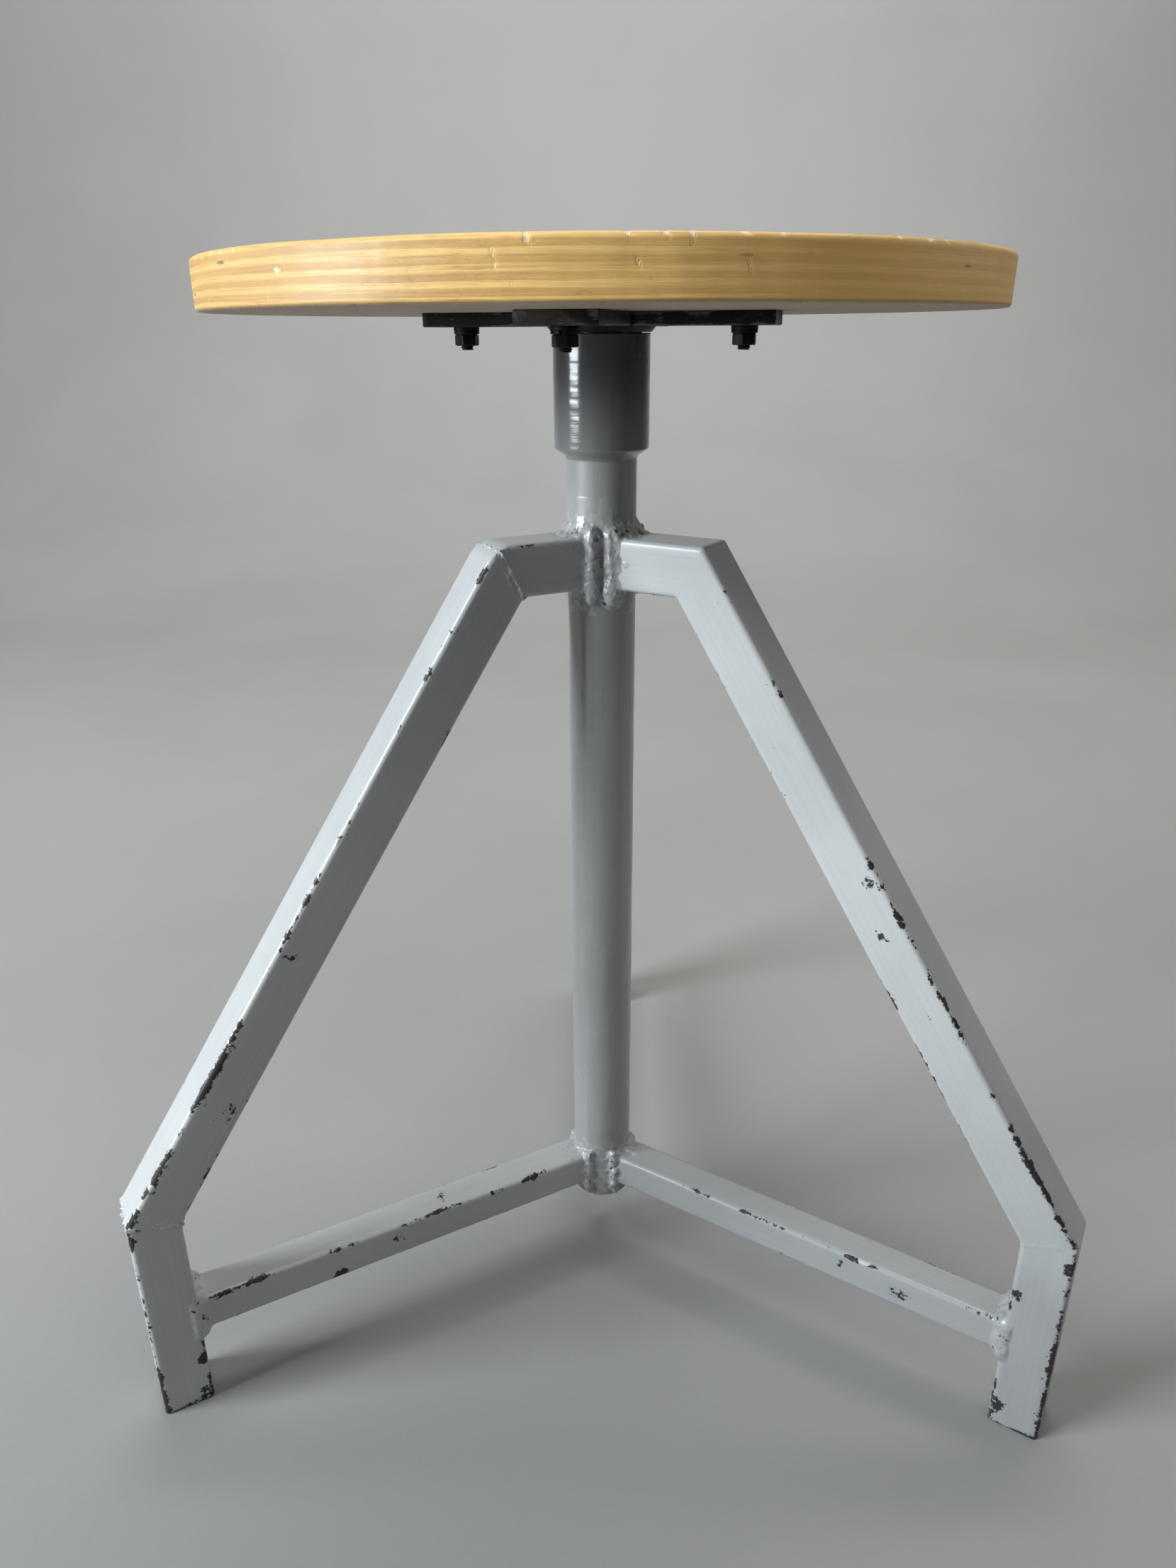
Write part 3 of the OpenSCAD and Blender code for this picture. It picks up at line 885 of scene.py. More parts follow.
def seat_board():
    """The board as a disc whose rim is close-meshed enough to hold real nicks."""
    top_r, low_r = 2.2, 1.6
    edge = SEAT_R - 0.15
    profile = [(r, SEAT_LOW) for r in (0, 30, *rows_between(60, edge - low_r - 2, 40), edge - low_r - 1)]
    profile += arc(edge - low_r, SEAT_LOW + low_r, low_r, -90, 0, 6)
    profile += [(edge, z) for z in rows_between(SEAT_LOW + low_r, SEAT_TOP - top_r, 0.8)[1:-1]]
    profile += arc(edge - top_r, SEAT_TOP - top_r, top_r, 0, 90, 9)
    profile += [(edge - top_r - step, SEAT_TOP) for step in (0.6, 1.3, 2.2, 3.5, 6)]
    profile += [(r, SEAT_TOP) for r in (*rows_between(edge - 20, 60, 40), 30, 0)]
    amount = {}

    def warp(a, r, z):
        outer = np.clip((r - 150) / 20, 0, 1)
        depth, bared = np.zeros_like(r), np.zeros_like(r)
        for degrees, below, deep, width, tall in seat_nicks():
            turn = (a - math.radians(degrees) + math.pi) % TAU - math.pi
            lean = 0.35 * (z - (SEAT_TOP - below))
            over = np.hypot((turn * SEAT_R + lean) / (0.75 * width), (z - (SEAT_TOP - below)) / tall)
            jag = 1 + 0.35 * wobble(int(degrees * 10) % 997, round_z(a, r, z), 0.9)
            hollow = np.clip(1 - (over * jag) ** 2, 0, 1) * np.clip((r - (edge - 5)) / 2.5, 0, 1)
            depth += deep * hollow
            bared = np.maximum(bared, hollow)
        amount["nick"] = bared.ravel()
        points = round_z(a, r, z * 0.3)
        sanded = 0.10 * wobble(8, points, 22) + 0.05 * wobble(9, points, 5)
        top = np.clip((z - SEAT_TOP + 3) / 3, 0, 1)
        new_r = r + outer * (sanded * (r > edge - 4)) - depth * (0.35 + 0.4 * (1 - top))
        new_z = z - depth * top * 0.6 - 0.12 * outer * top * np.abs(wobble(10, points, 30))
        return np.minimum(new_r, SEAT_R), new_z

    shape = lathe(profile, 1800, warp)
    shape.layers = amount
    return shape


def at_seat_bolts(shape):
    """A copy of a shape, made on the Z axis, at each of the four seat bolts."""
    first, *others = (shape.moved(BRACKET_TURN + quarter * TAU / 4, x=BOLT_CIRCLE_R) for quarter in range(4))
    return sum(others, first)


def cut(obj, shape):
    """Cuts a shape out of a piece."""
    cutter = bpy.data.objects.new("cutter", as_mesh("cutter", shape))
    bpy.context.scene.collection.objects.link(cutter)
    modifier = obj.modifiers.new("cut", "BOOLEAN")
    modifier.object, modifier.solver = cutter, "EXACT"
    result = obj.evaluated_get(bpy.context.evaluated_depsgraph_get())
    mesh = bpy.data.meshes.new_from_object(result)
    obj.modifiers.clear()
    obj.data = mesh
    bpy.data.objects.remove(cutter)


board = piece("seat_board_plywood", seat_board(), wood, "seat_wood", "seat", "seat_board", sharp=40)
hole_r, sink_r = BOLT_R + 0.25, BOLT_HEAD_R + 0.25
sink = [
    (0, SEAT_LOW - 1), (hole_r, SEAT_LOW - 1), (hole_r, BOLT_TOP - BOLT_HEAD_H), (sink_r, BOLT_TOP),
    (sink_r, SEAT_TOP - 0.3), (sink_r + 1.3, SEAT_TOP + 1), (0, SEAT_TOP + 1),
]
cut(board, at_seat_bolts(lathe(sink, 48)))


# ---------------------------------------------------------------- fasteners of the seat


def seat_bolt():
    """A countersunk bolt with its thread and hexagon socket."""
    socket_r, socket_low = 2.2, BOLT_TOP - 2.0
    neck = BOLT_TOP - BOLT_HEAD_H
    head = [(0, neck - 0.4), (BOLT_R - 0.15, neck - 0.4), (BOLT_R - 0.05, neck)]
    head += [(BOLT_HEAD_R - 0.15, BOLT_TOP - 0.45)] + arc(BOLT_HEAD_R - 0.3, BOLT_TOP - 0.3, 0.3, -20, 90, 4)
    head += [(socket_r + 0.35, BOLT_TOP), (socket_r, BOLT_TOP - 0.25), (socket_r, socket_low)]
    head += [(0, socket_low - 0.6)]

    def socket(a, r, z):
        inner = (r > 0) & (r <= socket_r + 0.4) & (z > neck)
        return np.where(inner, r * hexagon_r(a, 2.0) * 0.93, r), z

    thread = screw_thread(BOLT_LOW, neck - 0.2, BOLT_R, BOLT_ROOT_R, BOLT_PITCH, SHARP_THREAD, 0.7, 36)
    return thread + lathe(head, 72, socket)


def hexagon_nut(low, high, flats, bore_r):
    """A hexagon nut whose corners are rounded off by a cone at both faces."""
    corner = flats / math.sqrt(3)
    height = high - low
    steps = [0, 0.15, 0.35, 0.6, 0.85]
    levels = [low + step for step in (*steps, height / 2, *(height - step for step in reversed(steps)))]
    profile = [(bore_r, low + 0.4), (bore_r + 0.45, low)] + [(corner, level) for level in levels]
    profile += [(bore_r + 0.45, high), (bore_r, high - 0.4)]

    def corners(a, r, z):
        near_face = np.minimum(z - low, high - z)
        cone = flats / 2 * 0.96 + near_face * 1.7
        rounding = np.minimum(hexagon_r(a, flats), corner - 0.12)
        return np.where(r > bore_r + 0.5, np.minimum(rounding, cone), r), z

    return lathe(profile, 96, corners, closed=True)


piece("seat_bolt_set", at_seat_bolts(seat_bolt()), blackened, "black_fastener", "seat", "seat_bolts")
piece(
    "seat_nut_set",
    at_seat_bolts(hexagon_nut(NUT6_LOW, NUT6_TOP, NUT6_FLATS, BOLT_R + 0.03)),
    blackened, "black_fastener", "seat", "seat_nuts", sharp=25,
)


# ---------------------------------------------------------------- bracket


def flat_bar(node, along_x, seed):
    """A flat bar between a node's faces, with its length along X or Y of the bracket's frame."""
    (x0, x1), (y0, y1), (z0, z1) = (span(node, axis, BRACKET_TURN) for axis in range(3))
    if not along_x:
        x0, x1, y0, y1 = y0, y1, -x1, -x0
    width, height, radius = y1 - y0, z1 - z0, 0.6
    outline = []
    for cy, cz, start in ((y1, z1, 0), (y0, z1, 90), (y0, z0, 180), (y1, z0, 270)):
        cy += radius if cy == y0 else -radius
        cz += radius if cz == z0 else -radius
        outline += arc(cy, cz, radius, start, start + 90, 3)
    dense = []
    for a, b in zip(outline, outline[1:] + outline[:1]):
        parts = max(1, math.ceil(math.dist(a, b) / 2.5))
        dense += [tuple(p + (q - p) * k / parts for p, q in zip(a, b)) for k in range(parts)]
    y, z = np.array(dense).T
    middle_y, middle_z = (y0 + y1) / 2, (z0 + z1) / 2
    from_corner = np.hypot(width / 2 - np.abs(y - middle_y), height / 2 - np.abs(z - middle_z))
    near = np.clip(1 - from_corner / 3, 0, 1)
    stops = [(x0, 0.5), (x0 + 0.15, 0.15), (x0 + 0.5, 0)]
    stops += [(x, 0) for x in rows_between(x0 + 0.5, x1 - 0.5, 2.5)[1:-1]]
    stops += [(x1 - 0.5, 0), (x1 - 0.15, 0.15), (x1, 0.5)]
    rings, edge, end = [], [], []
    for x, inset in stops:
        ring_y = middle_y + (y - middle_y) * (1 - 2 * inset / width)
        ring_z = middle_z + (z - middle_z) * (1 - 2 * inset / height)
        from_end = min(x - x0, x1 - x)
        rings.append(np.stack([np.full(len(y), x), ring_y, ring_z], axis=1))
        edge.append(np.maximum(near, max(0, 1 - from_end / 3)))
        end.append(np.full(len(y), max(0, 1 - from_end / 22)))
    points = np.concatenate(rings)
    inward = np.sign(points - (points[:, 0].mean(), middle_y, middle_z)) * (0, 1, 0)
    points = points - inward * np.abs(0.12 * wobble(seed, points, 9))[:, None]
    faces = capped_grid(len(stops), len(y))
    shape = Shape(points, faces, edge=np.concatenate(edge), end=np.concatenate(end))
    return shape.moved(BRACKET_TURN + (0 if along_x else TAU / 4))


for node, seed in (("bracket_bar", 50), ("bracket_arm_front", 51), ("bracket_arm_rear", 52)):
    bar = flat_bar(node, node == "bracket_bar", seed)
    piece(node + "_flat", bar, black_paint, "bracket_paint", "seat", node)


def flange():
    """The flange under the bracket, with its cone and a bead of weld round its top."""
    bore = SPINDLE_R + 0.1
    low_r = FLANGE_R - 2
    profile = [(bore, FLANGE_TOP), (bore, FLANGE_LOW), (bore + 3, FLANGE_LOW)]
    profile += arc(low_r - 0.3, FLANGE_LOW + 0.3, 0.3, -90, -40, 3)
    profile += [(low_r + 1, (FLANGE_LOW + FLANGE_TOP) / 2), (FLANGE_R - 0.2, FLANGE_TOP - 0.35)]
    profile += [(FLANGE_R - 0.1, FLANGE_TOP), (FLANGE_R - 5, FLANGE_TOP)]

    def lumps(a, r, z):
        outer = np.clip((r - low_r + 0.5) / 2, 0, 1)
        return r - outer * 0.35 * np.abs(wobble(55, round_z(a, r, z), 4)), z

    return lathe(profile, 160, lumps, closed=True)


piece("spindle_flange_cone", flange(), black_paint, "bracket_paint", "seat", "spindle_flange")
root_r = SPINDLE_R - THREAD_DEPTH
spindle = screw_thread(SPINDLE_LOW, SPINDLE_TOP, SPINDLE_R, root_r, SPINDLE_PITCH, TRAPEZOID, 2.2, 96)
piece("spindle_thread", spindle, thread_steel, "spindle_steel", "seat", "spindle", sharp=25)


# ---------------------------------------------------------------- column and sleeve


def column():
    """The column pipe, with a rounded lip at its open lower end."""
    middle = (COLUMN_R + COLUMN_BORE_R) / 2
    half = (COLUMN_R - COLUMN_BORE_R) / 2
    lip = 0.9
    profile = [(COLUMN_R, z) for z in rows_between(COLUMN_TOP, COLUMN_LOW + lip, 3.0)]
    profile += arc(COLUMN_R - lip, COLUMN_LOW + lip, lip, 0, -90, 5)[1:]
    profile += arc(COLUMN_BORE_R + lip, COLUMN_LOW + lip, lip, -90, -180, 5)
    profile += [(COLUMN_BORE_R, z) for z in rows_between(COLUMN_LOW + lip, COLUMN_TOP, 40.0)[1:]]

    def dents(a, r, z):
        outside = np.clip((r - middle) / half, 0, 1)
        return r - outside * 0.10 * np.abs(wobble(61, round_z(a, r, z * 0.25), 9)), z

    shape = lathe(profile, 144, dents, closed=True)
    x, y, z = shape.points.T
    lip_near = np.clip(1 - (z - COLUMN_LOW) / 4, 0, 1)
    shape.layers = {"around": (np.arctan2(y, x) % TAU) * COLUMN_R, "along": z, "edge": lip_near}
    return shape


def sleeve():
    """The spindle nut: a turned sleeve whose chamfer runs out into the column."""
    chamfer = NUT_R - COLUMN_R - 0.7
    bore, skirt = NUT_BORE_R, COLUMN_R + 0.05
    foot_r, foot_z = COLUMN_R + 0.8, NUT_LOW + 1.6
    knee_z = NUT_LOW + chamfer
    profile = [(skirt, COLUMN_TOP), (skirt, NUT_LOW + 2.2)]
    profile += [(COLUMN_R + 0.03, NUT_LOW), (COLUMN_R + 0.3, foot_z - 0.8)]
    for share in rows_between(0, 1, 0.12):
        profile.append((foot_r + (chamfer - 0.7) * share, foot_z + (knee_z - 0.6 - foot_z) * share))
    profile += arc(NUT_R - 0.9, knee_z + 0.35, 0.9, -45, 0, 4)
    profile += [(NUT_R, z) for z in rows_between(knee_z + 0.35, NUT_TOP - 0.7, 0.7)[1:]]
    profile += arc(NUT_R - 0.7, NUT_TOP - 0.7, 0.7, 0, 90, 4)[1:]
    profile += [(bore + 0.8, NUT_TOP), (bore, NUT_TOP - 0.8), (bore, COLUMN_TOP)]

    def ripples(a, r, z):
        points = round_z(a, r * 0.25, z)
        outside = np.clip((r - COLUMN_R - 1) / 1, 0, 1) * (z < NUT_TOP - 0.5)
        return r - outside * (0.03 + 0.03 * wobble(63, points, 1.6) + 0.02 * wobble(64, points, 5)), z

    shape = lathe(profile, 192, ripples, closed=True)
    z = shape.points[:, 2]
    shape.layers = {"edge": np.clip(1 - np.minimum(np.abs(z - knee_z), NUT_TOP - z) / 3, 0, 1)}
    return shape


piece("column_pipe", column(), column_paint, "column_paint", "frame", "column")
piece("spindle_nut_sleeve", sleeve(), sleeve_paint, "column_paint", "frame", "spindle_nut", sharp=50)


# ---------------------------------------------------------------- legs

# Places where the paint has gone, for each (side of the leg, share of the tube's depth): stretches
# along the tube as (from, to, strength)
STRUT_WEAR = {
    "left": {
        (1, 0): [(12, 20, 0.5), (42, 49, 0.5), (62, 69, 0.45), (146, 154, 0.5), (170, 187, 0.6),
            (204, 212, 0.5), (224, 236, 0.5), (308, 316, 0.4), (328, 372, 1.1)],
        (1, 0.05): [(256, 300, 0.85)],
        (1, 1): [(86, 94, 0.6), (292, 298, 0.55), (332, 342, 0.7), (350, 354, 0.5), (364, 372, 0.6)],
        (1, 0.7): [(296, 303, 2.0)],
        (1, 0.66): [(361, 362, 2.0)],
        (1, 0.3): [(214, 216, 1.8)],
        (-1, 0): [(120, 240, 0.2), (240, 372, 0.36)],
    },
    "right": {
        (-1, 0): [(160, 177, 0.55), (188, 206, 0.62), (219, 225, 0.45), (232, 254, 0.6), (284, 292, 0.45),
            (302, 345, 0.68), (350, 372, 0.68), (70, 76, 0.4)],
        (-1, 0.5): [(196, 199, 1.9)],
        (-1, 0.4): [(243, 244, 1.9)],
        (-1, 0.25): [(170, 173, 1.6)],
        (-1, 1): [(226, 232, 0.65), (255, 265, 0.7), (273, 279, 0.65), (300, 372, 0.2)],
        (1, 0): [(186, 204, 0.5), (240, 372, 0.3)],
    },
    "rear": {
        (1, 0): [(150, 170, 0.5), (230, 262, 0.6), (300, 372, 0.55)],
        (-1, 0): [(90, 100, 0.5), (200, 250, 0.55), (320, 360, 0.6)],
        (-1, 1): [(280, 300, 0.5)],
        (1, 1): [(240, 250, 0.5), (340, 352, 0.6)],
    },
}
FOOT_WEAR = {
    "left": {
        (1, 0): [(0, 12, 0.8), (20, 26, 0.45), (30, 36, 0.5), (46, 58, 0.7), (62, 95, 0.55),
            (95, 127, 0.8)],
        (-1, 0): [(0, 127, 0.42)],
        (1, 1): [(84, 94, 0.7), (112, 127, 0.8)],
        (1, 0.85): [(98, 101, 1.5)],
        (1, 0.8): [(119, 121, 1.8)],
    },
    "right": {
        (-1, 0): [(0, 60, 0.6), (60, 127, 0.8)],
        (-1, 1): [(100, 127, 0.5), (46, 50, 0.5)],
        (1, 0): [(0, 127, 0.42)],
        (-1, 0.12): [(10, 15, 1.6)],
        (-1, 0.8): [(38, 39, 1.8), (112, 118, 1.5)],
    },
    "rear": {
        (1, 0): [(0, 50, 0.6), (70, 127, 0.6)],
        (-1, 0): [(10, 127, 0.5)],
        (1, 1): [(95, 127, 0.6)],
        (-1, 1): [(110, 127, 0.6)],
    },
}
STRETCHER_WEAR = {
    "left": {
        (1, 0): [(45, 60, 0.5), (74, 82, 0.55), (92, 132, 0.34), (160, 174, 0.42), (208, 218, 0.7),
            (227, 234, 0.65)],
        (-1, 0): [(68, 74, 0.6), (106, 110, 0.5)],
        (1, 1): [(182, 186, 0.7), (208, 214, 0.5), (40, 60, 0.3)],
        (1, 0.4): [(134, 137, 2.0)],
        (1, 0.8): [(167, 170, 1.9)],
        (0, 0): [(104, 107, 2.0)],
    },
    "right": {
        (-1, 0): [(62, 78, 0.45), (100, 112, 0.4), (160, 176, 0.6), (222, 236, 0.4)],
        (-1, 0.55): [(185, 196, 2.0)],
        (-1, 0.4): [(156, 161, 1.9)],
        (1, 0): [(198, 213, 0.65)],
        (-1, 1): [(120, 128, 0.5)],
    },
    "rear": {
        (1, 0): [(60, 90, 0.5), (150, 190, 0.5)],
        (-1, 0): [(110, 124, 0.6), (200, 232, 0.5)],
        (1, 1): [(170, 176, 0.6)],
    },
}

ARM_WEAR = {(1, 0): [(KNEE_R - 8, KNEE_R, 0.4)], (-1, 0): [(KNEE_R - 5, KNEE_R, 0.3)]}

# How far the outer corner of each knee was ground round, how far a tube reaches into the column's
# wall, and how far a foot's lower edge is rounded
KNEE_ROUND = {"left": 15.0, "right": BEND_R, "rear": 6.0}
COPE_R = COLUMN_R - 0.8
FOOT_RIM = 0.6

for leg in LEGS:
    way, paint = LEG_WAY[leg], leg_paint[leg]
    arm = SquareTube(LEG_TUBE, (0, ARM_TOP), 0.0, ARM_WEAR)
    arm.run(KNEE_R, (0, KNEE_BEND), (0, KNEE_ROUND[leg]), cope_r=COPE_R)
    strut = SquareTube(LEG_TUBE, (KNEE_R, ARM_TOP), STRUT_SLOPE, STRUT_WEAR[leg])
    strut.run(STRUT_LENGTH, (KNEE_BEND, ANKLE_BEND), (KNEE_ROUND[leg], BEND_R))
    foot = SquareTube(LEG_TUBE, (FOOT_R, ANKLE_Z), math.pi / 2, FOOT_WEAR[leg])
    foot.run(ANKLE_Z, (ANKLE_BEND, 0), rim=FOOT_RIM).foot_rim(ANKLE_Z, FOOT_RIM)
    stretcher = SquareTube(STRETCHER, (0, STRETCHER_Z + STRETCHER / 2), 0.0, STRETCHER_WEAR[leg])
    stretcher.run(STRETCHER_R, cope_r=COPE_R)
    for part, tube in (("leg_arm", arm), ("leg_strut", strut), ("leg_foot", foot), ("stretcher", stretcher)):
        node = part + "_" + leg
        piece(node + "_tube", tube.shape(way), paint, "frame_paint", "frame", node)


# ---------------------------------------------------------------- welds of the frame


def joint_at_column(low, high, side, middle_z, fillet, rise, bead_sizes, pits, seed):
    """Welds between the column and three tubes of one side length. fillet is the size of their
    corners, and rise what is added to it over the tubes. bead_sizes gives the radius, unevenness
    and depth under the surface of each bead, and pits holes as (degrees round from +X, height
    above the tubes' middle, radius)."""
    random = np.random.default_rng(seed)
    corner_x = math.sqrt(COLUMN_R**2 - (side / 2) ** 2)
    top = middle_z + side / 2

    def field(points):
        radius = np.hypot(points[..., 0], points[..., 1])
        pipe = radius - COLUMN_R
        bars, beads, holes = (np.full(radius.shape, FAR_OFF) for _ in range(3))
        for leg in LEGS:
            local = turn_back(points, LEG_WAY[leg])
            bars = np.minimum(bars, np.maximum(bar_field(local, side, (0, middle_z)), 4 - local[..., 0]))
            for sign in (-1, 1):
                size, uneven, sunk = bead_sizes[leg, sign]
                z = np.arange(middle_z - side / 2 - 4.5, top + 3, 2.4)
                start = corner_x + 0.4 * size - 0.3 * sunk, sign * (side / 2 + 0.2 * size - sunk), z
                centres = np.stack([
                    middle + uneven * random.normal(0, spread, len(z))
                    for middle, spread in zip(start, (0.6, 0.5, 0.6))
                ], axis=1)
                radii = size * (1 + uneven * random.uniform(-0.45, 0.15, len(z)))
                beads = np.minimum(beads, drops(local, centres, radii))
        for degrees, height, radius_of_pit in pits:
            spot = round_z(math.radians(degrees), COLUMN_R + 3.0, middle_z + height)
            holes = np.minimum(holes, np.linalg.norm(points - spot, axis=-1) - radius_of_pit)
        bare = np.minimum(pipe, bars)
        size = fillet + rise * np.clip((points[..., 2] - top + 5) / 6, 0, 1)
        metal = melt(melt(pipe, bars, size), beads, 2.0)
        close = np.clip(1 - np.abs(pipe - bars) / 14, 0, 1)
        metal = metal + close * (0.30 * wobble(seed, points, 2.8) + 0.13 * wobble(seed + 1, points, 1.2))
        metal = -melt(-metal, holes, 0.8)
        return bare, np.maximum(metal, COLUMN_R - 1.0 - radius)

    around = COLUMN_R + 15
    return weld((-around, -around, low), (around, around, high), COARSE_STEP, field)


def joint_at_foot(seed):
    """Weld round a stretcher's end on its foot, in the leg's own frame."""
    random = np.random.default_rng(seed)
    inner_r = FOOT_R - LEG_TUBE
    half = STRETCHER / 2
    steps = np.arange(-half, half, 2.6)
    path = [(s, half) for s in steps] + [(half, -s) for s in steps]
    path += [(-s, -half) for s in steps] + [(-half, s) for s in steps]
    centres = [
        (inner_r - 0.4, u, STRETCHER_Z + v) + random.normal(0, (0.5, 0.3, 0.4))
        for u, v in path
    ]
    radii = random.uniform(1.2, 2.4, len(path))

    def field(points):
        post = bar_field(points, LEG_TUBE, (FOOT_R - LEG_TUBE / 2, 0), math.pi / 2)
        rail = np.maximum(bar_field(points, STRETCHER, (0, STRETCHER_Z)), points[..., 0] - inner_r + 0.5)
        metal = melt(melt(post, rail, 6.5), drops(points, centres, radii), 3.5)
        close = np.clip(1 - np.abs(post - rail) / 8, 0, 1) ** 2
        metal = metal + close * (0.30 * wobble(seed + 1, points, 2.8) + 0.07 * wobble(seed + 2, points, 1.2))
        return np.minimum(post, rail), metal

    low = (inner_r - 12, -half - 5, STRETCHER_Z - half - 9)
    high = (inner_r + 10, half + 5, STRETCHER_Z + half + 9)
    return weld(low, high, FINE_STEP, field)


def joint_at_bend(corner, slope_in, slope_out, rounded, seam, inner, rough, seed):
    """Seam of a mitre. corner is its outer point, in the leg's own frame, and the slopes are
    those of the tubes before and after it. rounded is the radius of its outer corner, seam the
    height of the weld, inner the fillet inside the bend, and rough how uneven the weld is."""
    half = (slope_out - slope_in) / 2
    middle_slope = (slope_in + slope_out) / 2
    depth = LEG_TUBE / 2 / math.cos(half)
    inward = np.array((-math.sin(middle_slope), -math.cos(middle_slope)))
    middle = np.array(corner) + inward * depth
    onward = np.array((math.cos(middle_slope), -math.sin(middle_slope)))
    rounding = 4 * rounded * (1 / math.cos(half) - 1)

    def field(points):
        x, z = points[..., 0] - middle[0], points[..., 2] - middle[1]
        past = x * onward[0] + z * onward[1]
        deep = x * inward[0] + z * inward[1]
        before = np.maximum(bar_field(points, LEG_TUBE, middle, slope_in), past)
        after = np.maximum(bar_field(points, LEG_TUBE, middle, slope_out), -past)
        size = 0.2 + inner * np.clip(deep / depth, 0, 1) ** 4
        metal = melt(before, after, size) - seam * np.exp(-((past / (2.2 * seam + 1)) ** 2))
        outer = [x * math.sin(s) + z * math.cos(s) - LEG_TUBE / 2 for s in (slope_in, slope_out)]
        metal = np.maximum(metal, -melt(-outer[0], -outer[1], rounding))
        width = (2 + 3 * seam) * (0.6 + np.clip(1 - (deep / depth - 0.1) ** 2, 0, 1))
        close = np.clip(1 - (past / width) ** 2, 0, 1)
        drawn = np.stack([past, points[..., 1], deep / 3.5], axis=-1)
        metal = metal + close * rough * (wobble(seed, drawn, 1.9) + 0.5 * wobble(seed + 1, points, 1.5) - 0.2)
        return np.minimum(before, after), metal

    reach_out = 17.0
    low = (middle[0] - reach_out, -LEG_TUBE / 2 - 2, middle[1] - reach_out)
    high = (middle[0] + reach_out, LEG_TUBE / 2 + 2, middle[1] + reach_out)
    return weld(low, high, FINE_STEP, field)


# Height of the seam, fillet in the inner corner and roughness of each leg's two mitres
KNEE_SEAMS = {"left": (0.06, 3.0, 0.6), "right": (0.08, 1.2, 0.04), "rear": (0.3, 1.6, 0.14)}
ANKLE_SEAMS = {"left": (0.25, 1.0, 0.85), "right": (0.15, 1.0, 0.10), "rear": (0.3, 1.0, 0.25)}

between_colours = tuple((a + b) / 2 for a, b in zip(FRAME_COLOUR, COLUMN_COLOUR))
column_joint_paint = brushed_paint("joint_paint", between_colours, 0.2, 0.28, 80.0)
# Radius, unevenness and depth of the bead in each corner between a leg's tube and the column
ARM_BEADS = {
    ("left", 1): (3.1, 0.25, 0.0), ("left", -1): (2.7, 0.8, 0.0), ("right", 1): (2.8, 0.7, 0.0),
    ("right", -1): (4.6, 0.45, 3.0), ("rear", 1): (2.9, 0.5, 0.0), ("rear", -1): (2.6, 0.9, 0.0),
}
RAIL_BEADS = {
    ("left", 1): (2.6, 0.7, 0.0), ("left", -1): (2.4, 0.8, 0.0), ("right", 1): (2.4, 0.8, 0.0),
    ("right", -1): (2.4, 1.0, 0.0), ("rear", 1): (2.5, 0.6, 0.0), ("rear", -1): (2.3, 0.9, 0.0),
}
ARM_PITS = [
    (-88, 7.5, 1.7), (-86, 4.6, 1.2), (-85, -2.5, 1.9), (-81, -5.5, 1.6), (-84, -8.0, 1.2), (-96, 12.5, 1.1),
    (40, 3, 1.3),
]


def weld_piece(name, shape, paint):
    piece("weld_" + name, shape, paint, "frame_paint", "frame", sharp=180)


arm_middle = ARM_TOP - LEG_TUBE / 2
arm_heights = ARM_TOP - LEG_TUBE - 14, ARM_TOP + 20
arm_weld = joint_at_column(*arm_heights, LEG_TUBE, arm_middle, 3.5, 7.0, ARM_BEADS, ARM_PITS, 70)
weld_piece("arms", arm_weld, column_joint_paint)
rail_heights = COLUMN_LOW + 2, STRETCHER_Z + STRETCHER / 2 + 13
rail_weld = joint_at_column(*rail_heights, STRETCHER, STRETCHER_Z, 3.0, 2.0, RAIL_BEADS, [], 75)
weld_piece("stretchers", rail_weld, column_joint_paint)
knee_bend = (KNEE_R, ARM_TOP), 0.0, STRUT_SLOPE
ankle_bend = (FOOT_R, ANKLE_Z), STRUT_SLOPE, math.pi / 2
for number, leg in enumerate(LEGS):
    foot_weld = joint_at_foot(80 + 3 * number)
    knee_weld = joint_at_bend(*knee_bend, KNEE_ROUND[leg], *KNEE_SEAMS[leg], 90 + 2 * number)
    ankle_weld = joint_at_bend(*ankle_bend, BEND_R, *ANKLE_SEAMS[leg], 100 + 2 * number)
    for name, shape in (("foot_", foot_weld), ("knee_", knee_weld), ("ankle_", ankle_weld)):
        weld_piece(name + leg, shape.moved(LEG_WAY[leg]), leg_paint[leg])


# ---------------------------------------------------------------- CAD nodes that stay


def keep(node, finish, bevel):
    """Gives a CAD node its finish and softens its edges."""
    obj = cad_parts[node]
    obj.data.materials.clear()
    obj.data.materials.append(finish)
    obj.modifiers.new("join", "WELD").merge_threshold = 1e-5
    soften = obj.modifiers.new("soften", "BEVEL")
    soften.width, soften.segments, soften.limit_method = bevel * MM, 2, "ANGLE"


for node in ("seat_washers", "seat_spring_washers"):
    keep(node, blackened, 0.15)
for node in ("stop_washer", "stop_bolt"):
    keep(node, zinc, 0.3)
for leg in LEGS:
    keep("foot_plate_" + leg, leg_paint[leg], 0.3)


# ================================================================ stage


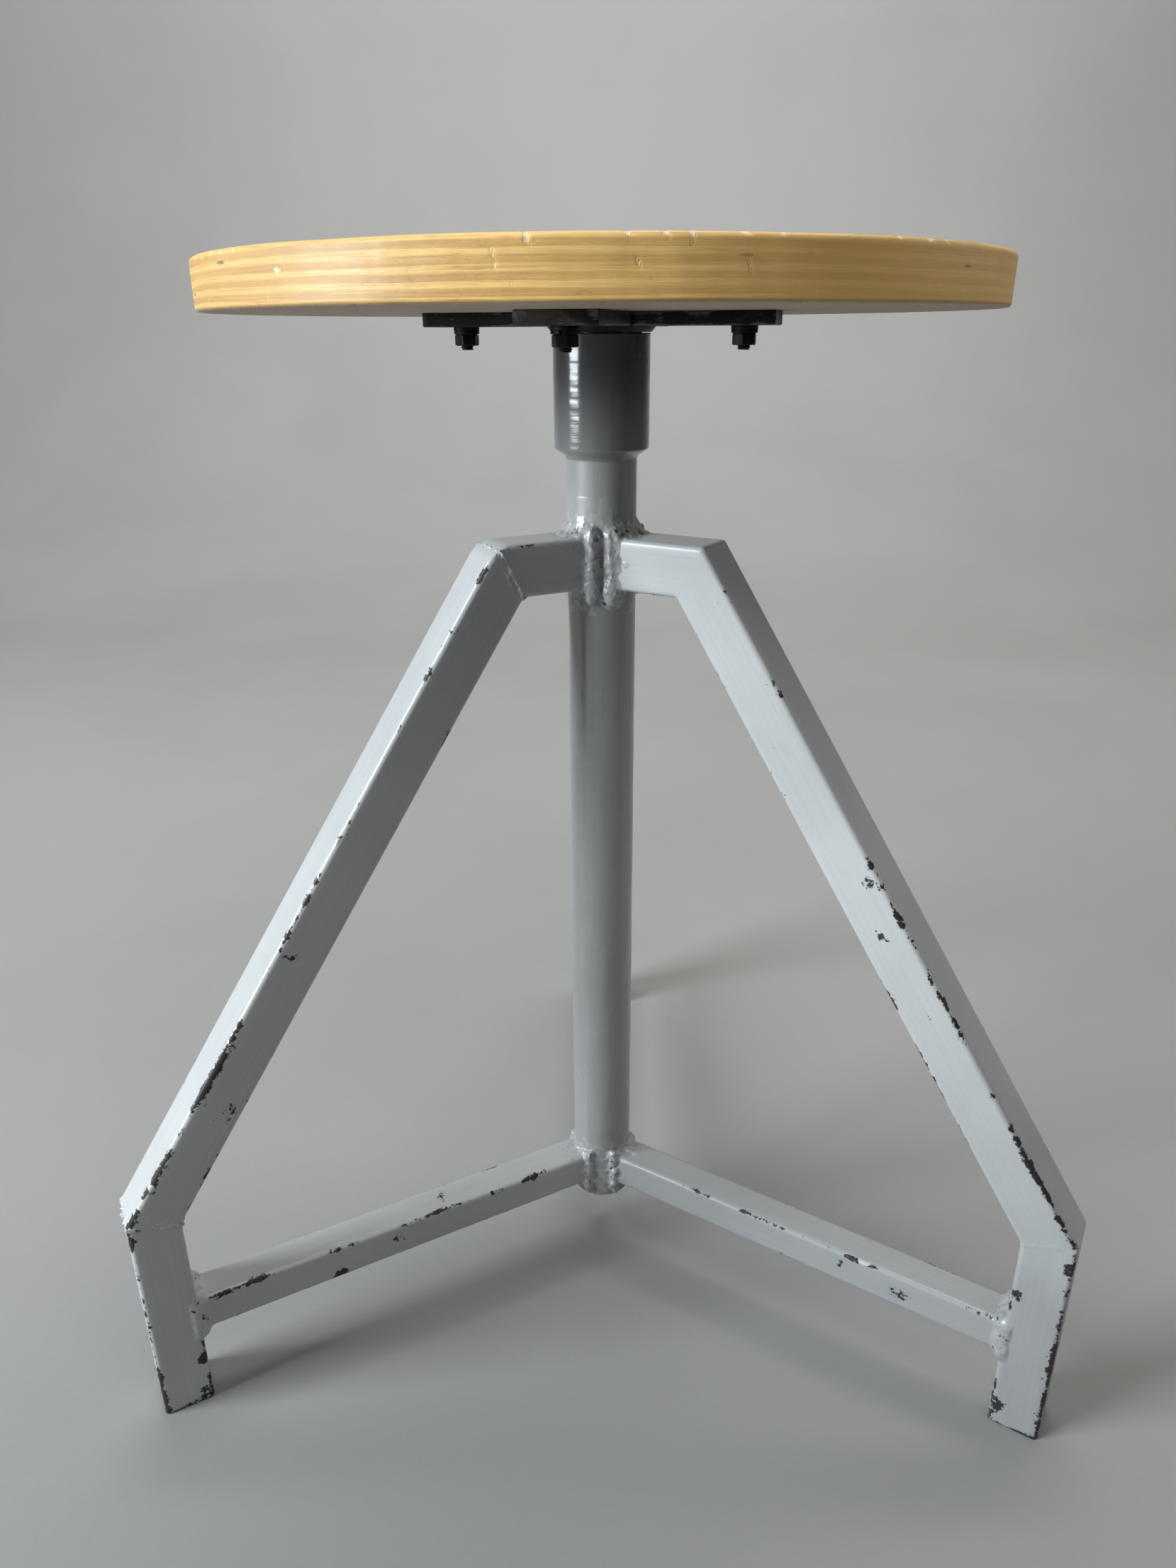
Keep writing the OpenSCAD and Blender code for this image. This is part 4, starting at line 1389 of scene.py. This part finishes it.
def backdrop():
    """A floor that sweeps up behind the stool."""
    near, far, radius, height, half = -4.0, 2.6, 1.2, 4.0, 5.0
    profile = [(y, 0.0) for y in np.linspace(near, far - radius, 12)]
    for a in np.linspace(0, math.pi / 2, 17)[1:]:
        profile.append((far - radius + radius * math.sin(a), radius * (1 - math.cos(a))))
    profile += [(far, z) for z in np.linspace(radius, height, 5)[1:]]
    work = bmesh.new()
    rows = [[work.verts.new((x, y, z)) for x in np.linspace(-half, half, 9)] for y, z in profile]
    for a, b in zip(rows, rows[1:]):
        for i in range(len(a) - 1):
            work.faces.new((a[i], a[i + 1], b[i + 1], b[i]))
    mesh = bpy.data.meshes.new("floor")
    work.to_mesh(mesh)
    work.free()
    mesh.shade_smooth()
    obj = bpy.data.objects.new("floor", mesh)
    bpy.context.scene.collection.objects.link(obj)
    mesh.materials.append(floor_finish())


def area_light(name, place, target, width, height, power, colour):
    light = bpy.data.lights.new(name, "AREA")
    light.shape, light.size, light.size_y = "RECTANGLE", width, height
    light.energy, light.color = power, colour
    obj = bpy.data.objects.new(name, light)
    obj.location = place
    obj.rotation_euler = (Vector(target) - Vector(place)).to_track_quat("-Z", "Y").to_euler()
    bpy.context.scene.collection.objects.link(obj)


# The camera: its place in metres, its turns in degrees, its lens and film in millimetres
CAMERA_PLACE = (0.01325, -0.5378, 0.5261)
CAMERA_TURNS = (-2.20, 22.594, -0.333)
LENS, FILM_WIDTH = 25.0, 36.0
NEAREST = 0.02


def camera():
    """The camera in front of the stool, a little below the seat's top and looking down."""
    yaw, pitch, roll = (math.radians(degrees) for degrees in CAMERA_TURNS)
    forward = Vector((math.sin(yaw) * math.cos(pitch), math.cos(yaw) * math.cos(pitch), -math.sin(pitch)))
    right = Vector((math.cos(yaw), -math.sin(yaw), 0))
    up = right.cross(forward)
    right, up = right * math.cos(roll) + up * math.sin(roll), up * math.cos(roll) - right * math.sin(roll)
    data = bpy.data.cameras.new("camera")
    data.lens, data.sensor_width, data.clip_start = LENS, FILM_WIDTH, NEAREST
    obj = bpy.data.objects.new("camera", data)
    turned = Matrix((right, up, -forward)).transposed().to_4x4()
    obj.matrix_world = Matrix.Translation(CAMERA_PLACE) @ turned
    bpy.context.scene.collection.objects.link(obj)
    bpy.context.scene.camera = obj


backdrop()
camera()
area_light("window", (-2.2, -0.95, 1.2), (0, 0, 0.35), 1.0, 1.72, 112, (0.87, 0.94, 1.0))
area_light("front", (0.8, -1.2, 2.6), (0, 0, 0.3), 1.4, 1.0, 12, (1.0, 0.99, 0.97))
area_light("right_wall", (1.9, 0.35, 1.3), (0, 0, 0.35), 1.6, 1.4, 5, (0.98, 0.99, 1.0))
area_light("top", (0.3, 0.6, 2.6), (0, 0, 0.3), 2.0, 2.0, 12, (1.0, 0.99, 0.98))
area_light("back_wall", (0.1, 0.7, 2.6), (0, 2.6, 1.1), 2.0, 0.8, 70, (1.0, 0.99, 0.96))
world = bpy.data.worlds.new("studio")
world.use_nodes = True
sky = world.node_tree.nodes["Background"].inputs
sky["Color"].default_value, sky["Strength"].default_value = (1.0, 0.99, 0.97, 1.0), 0.04
bpy.context.scene.world = world
bpy.context.scene.view_settings.view_transform = "Standard"
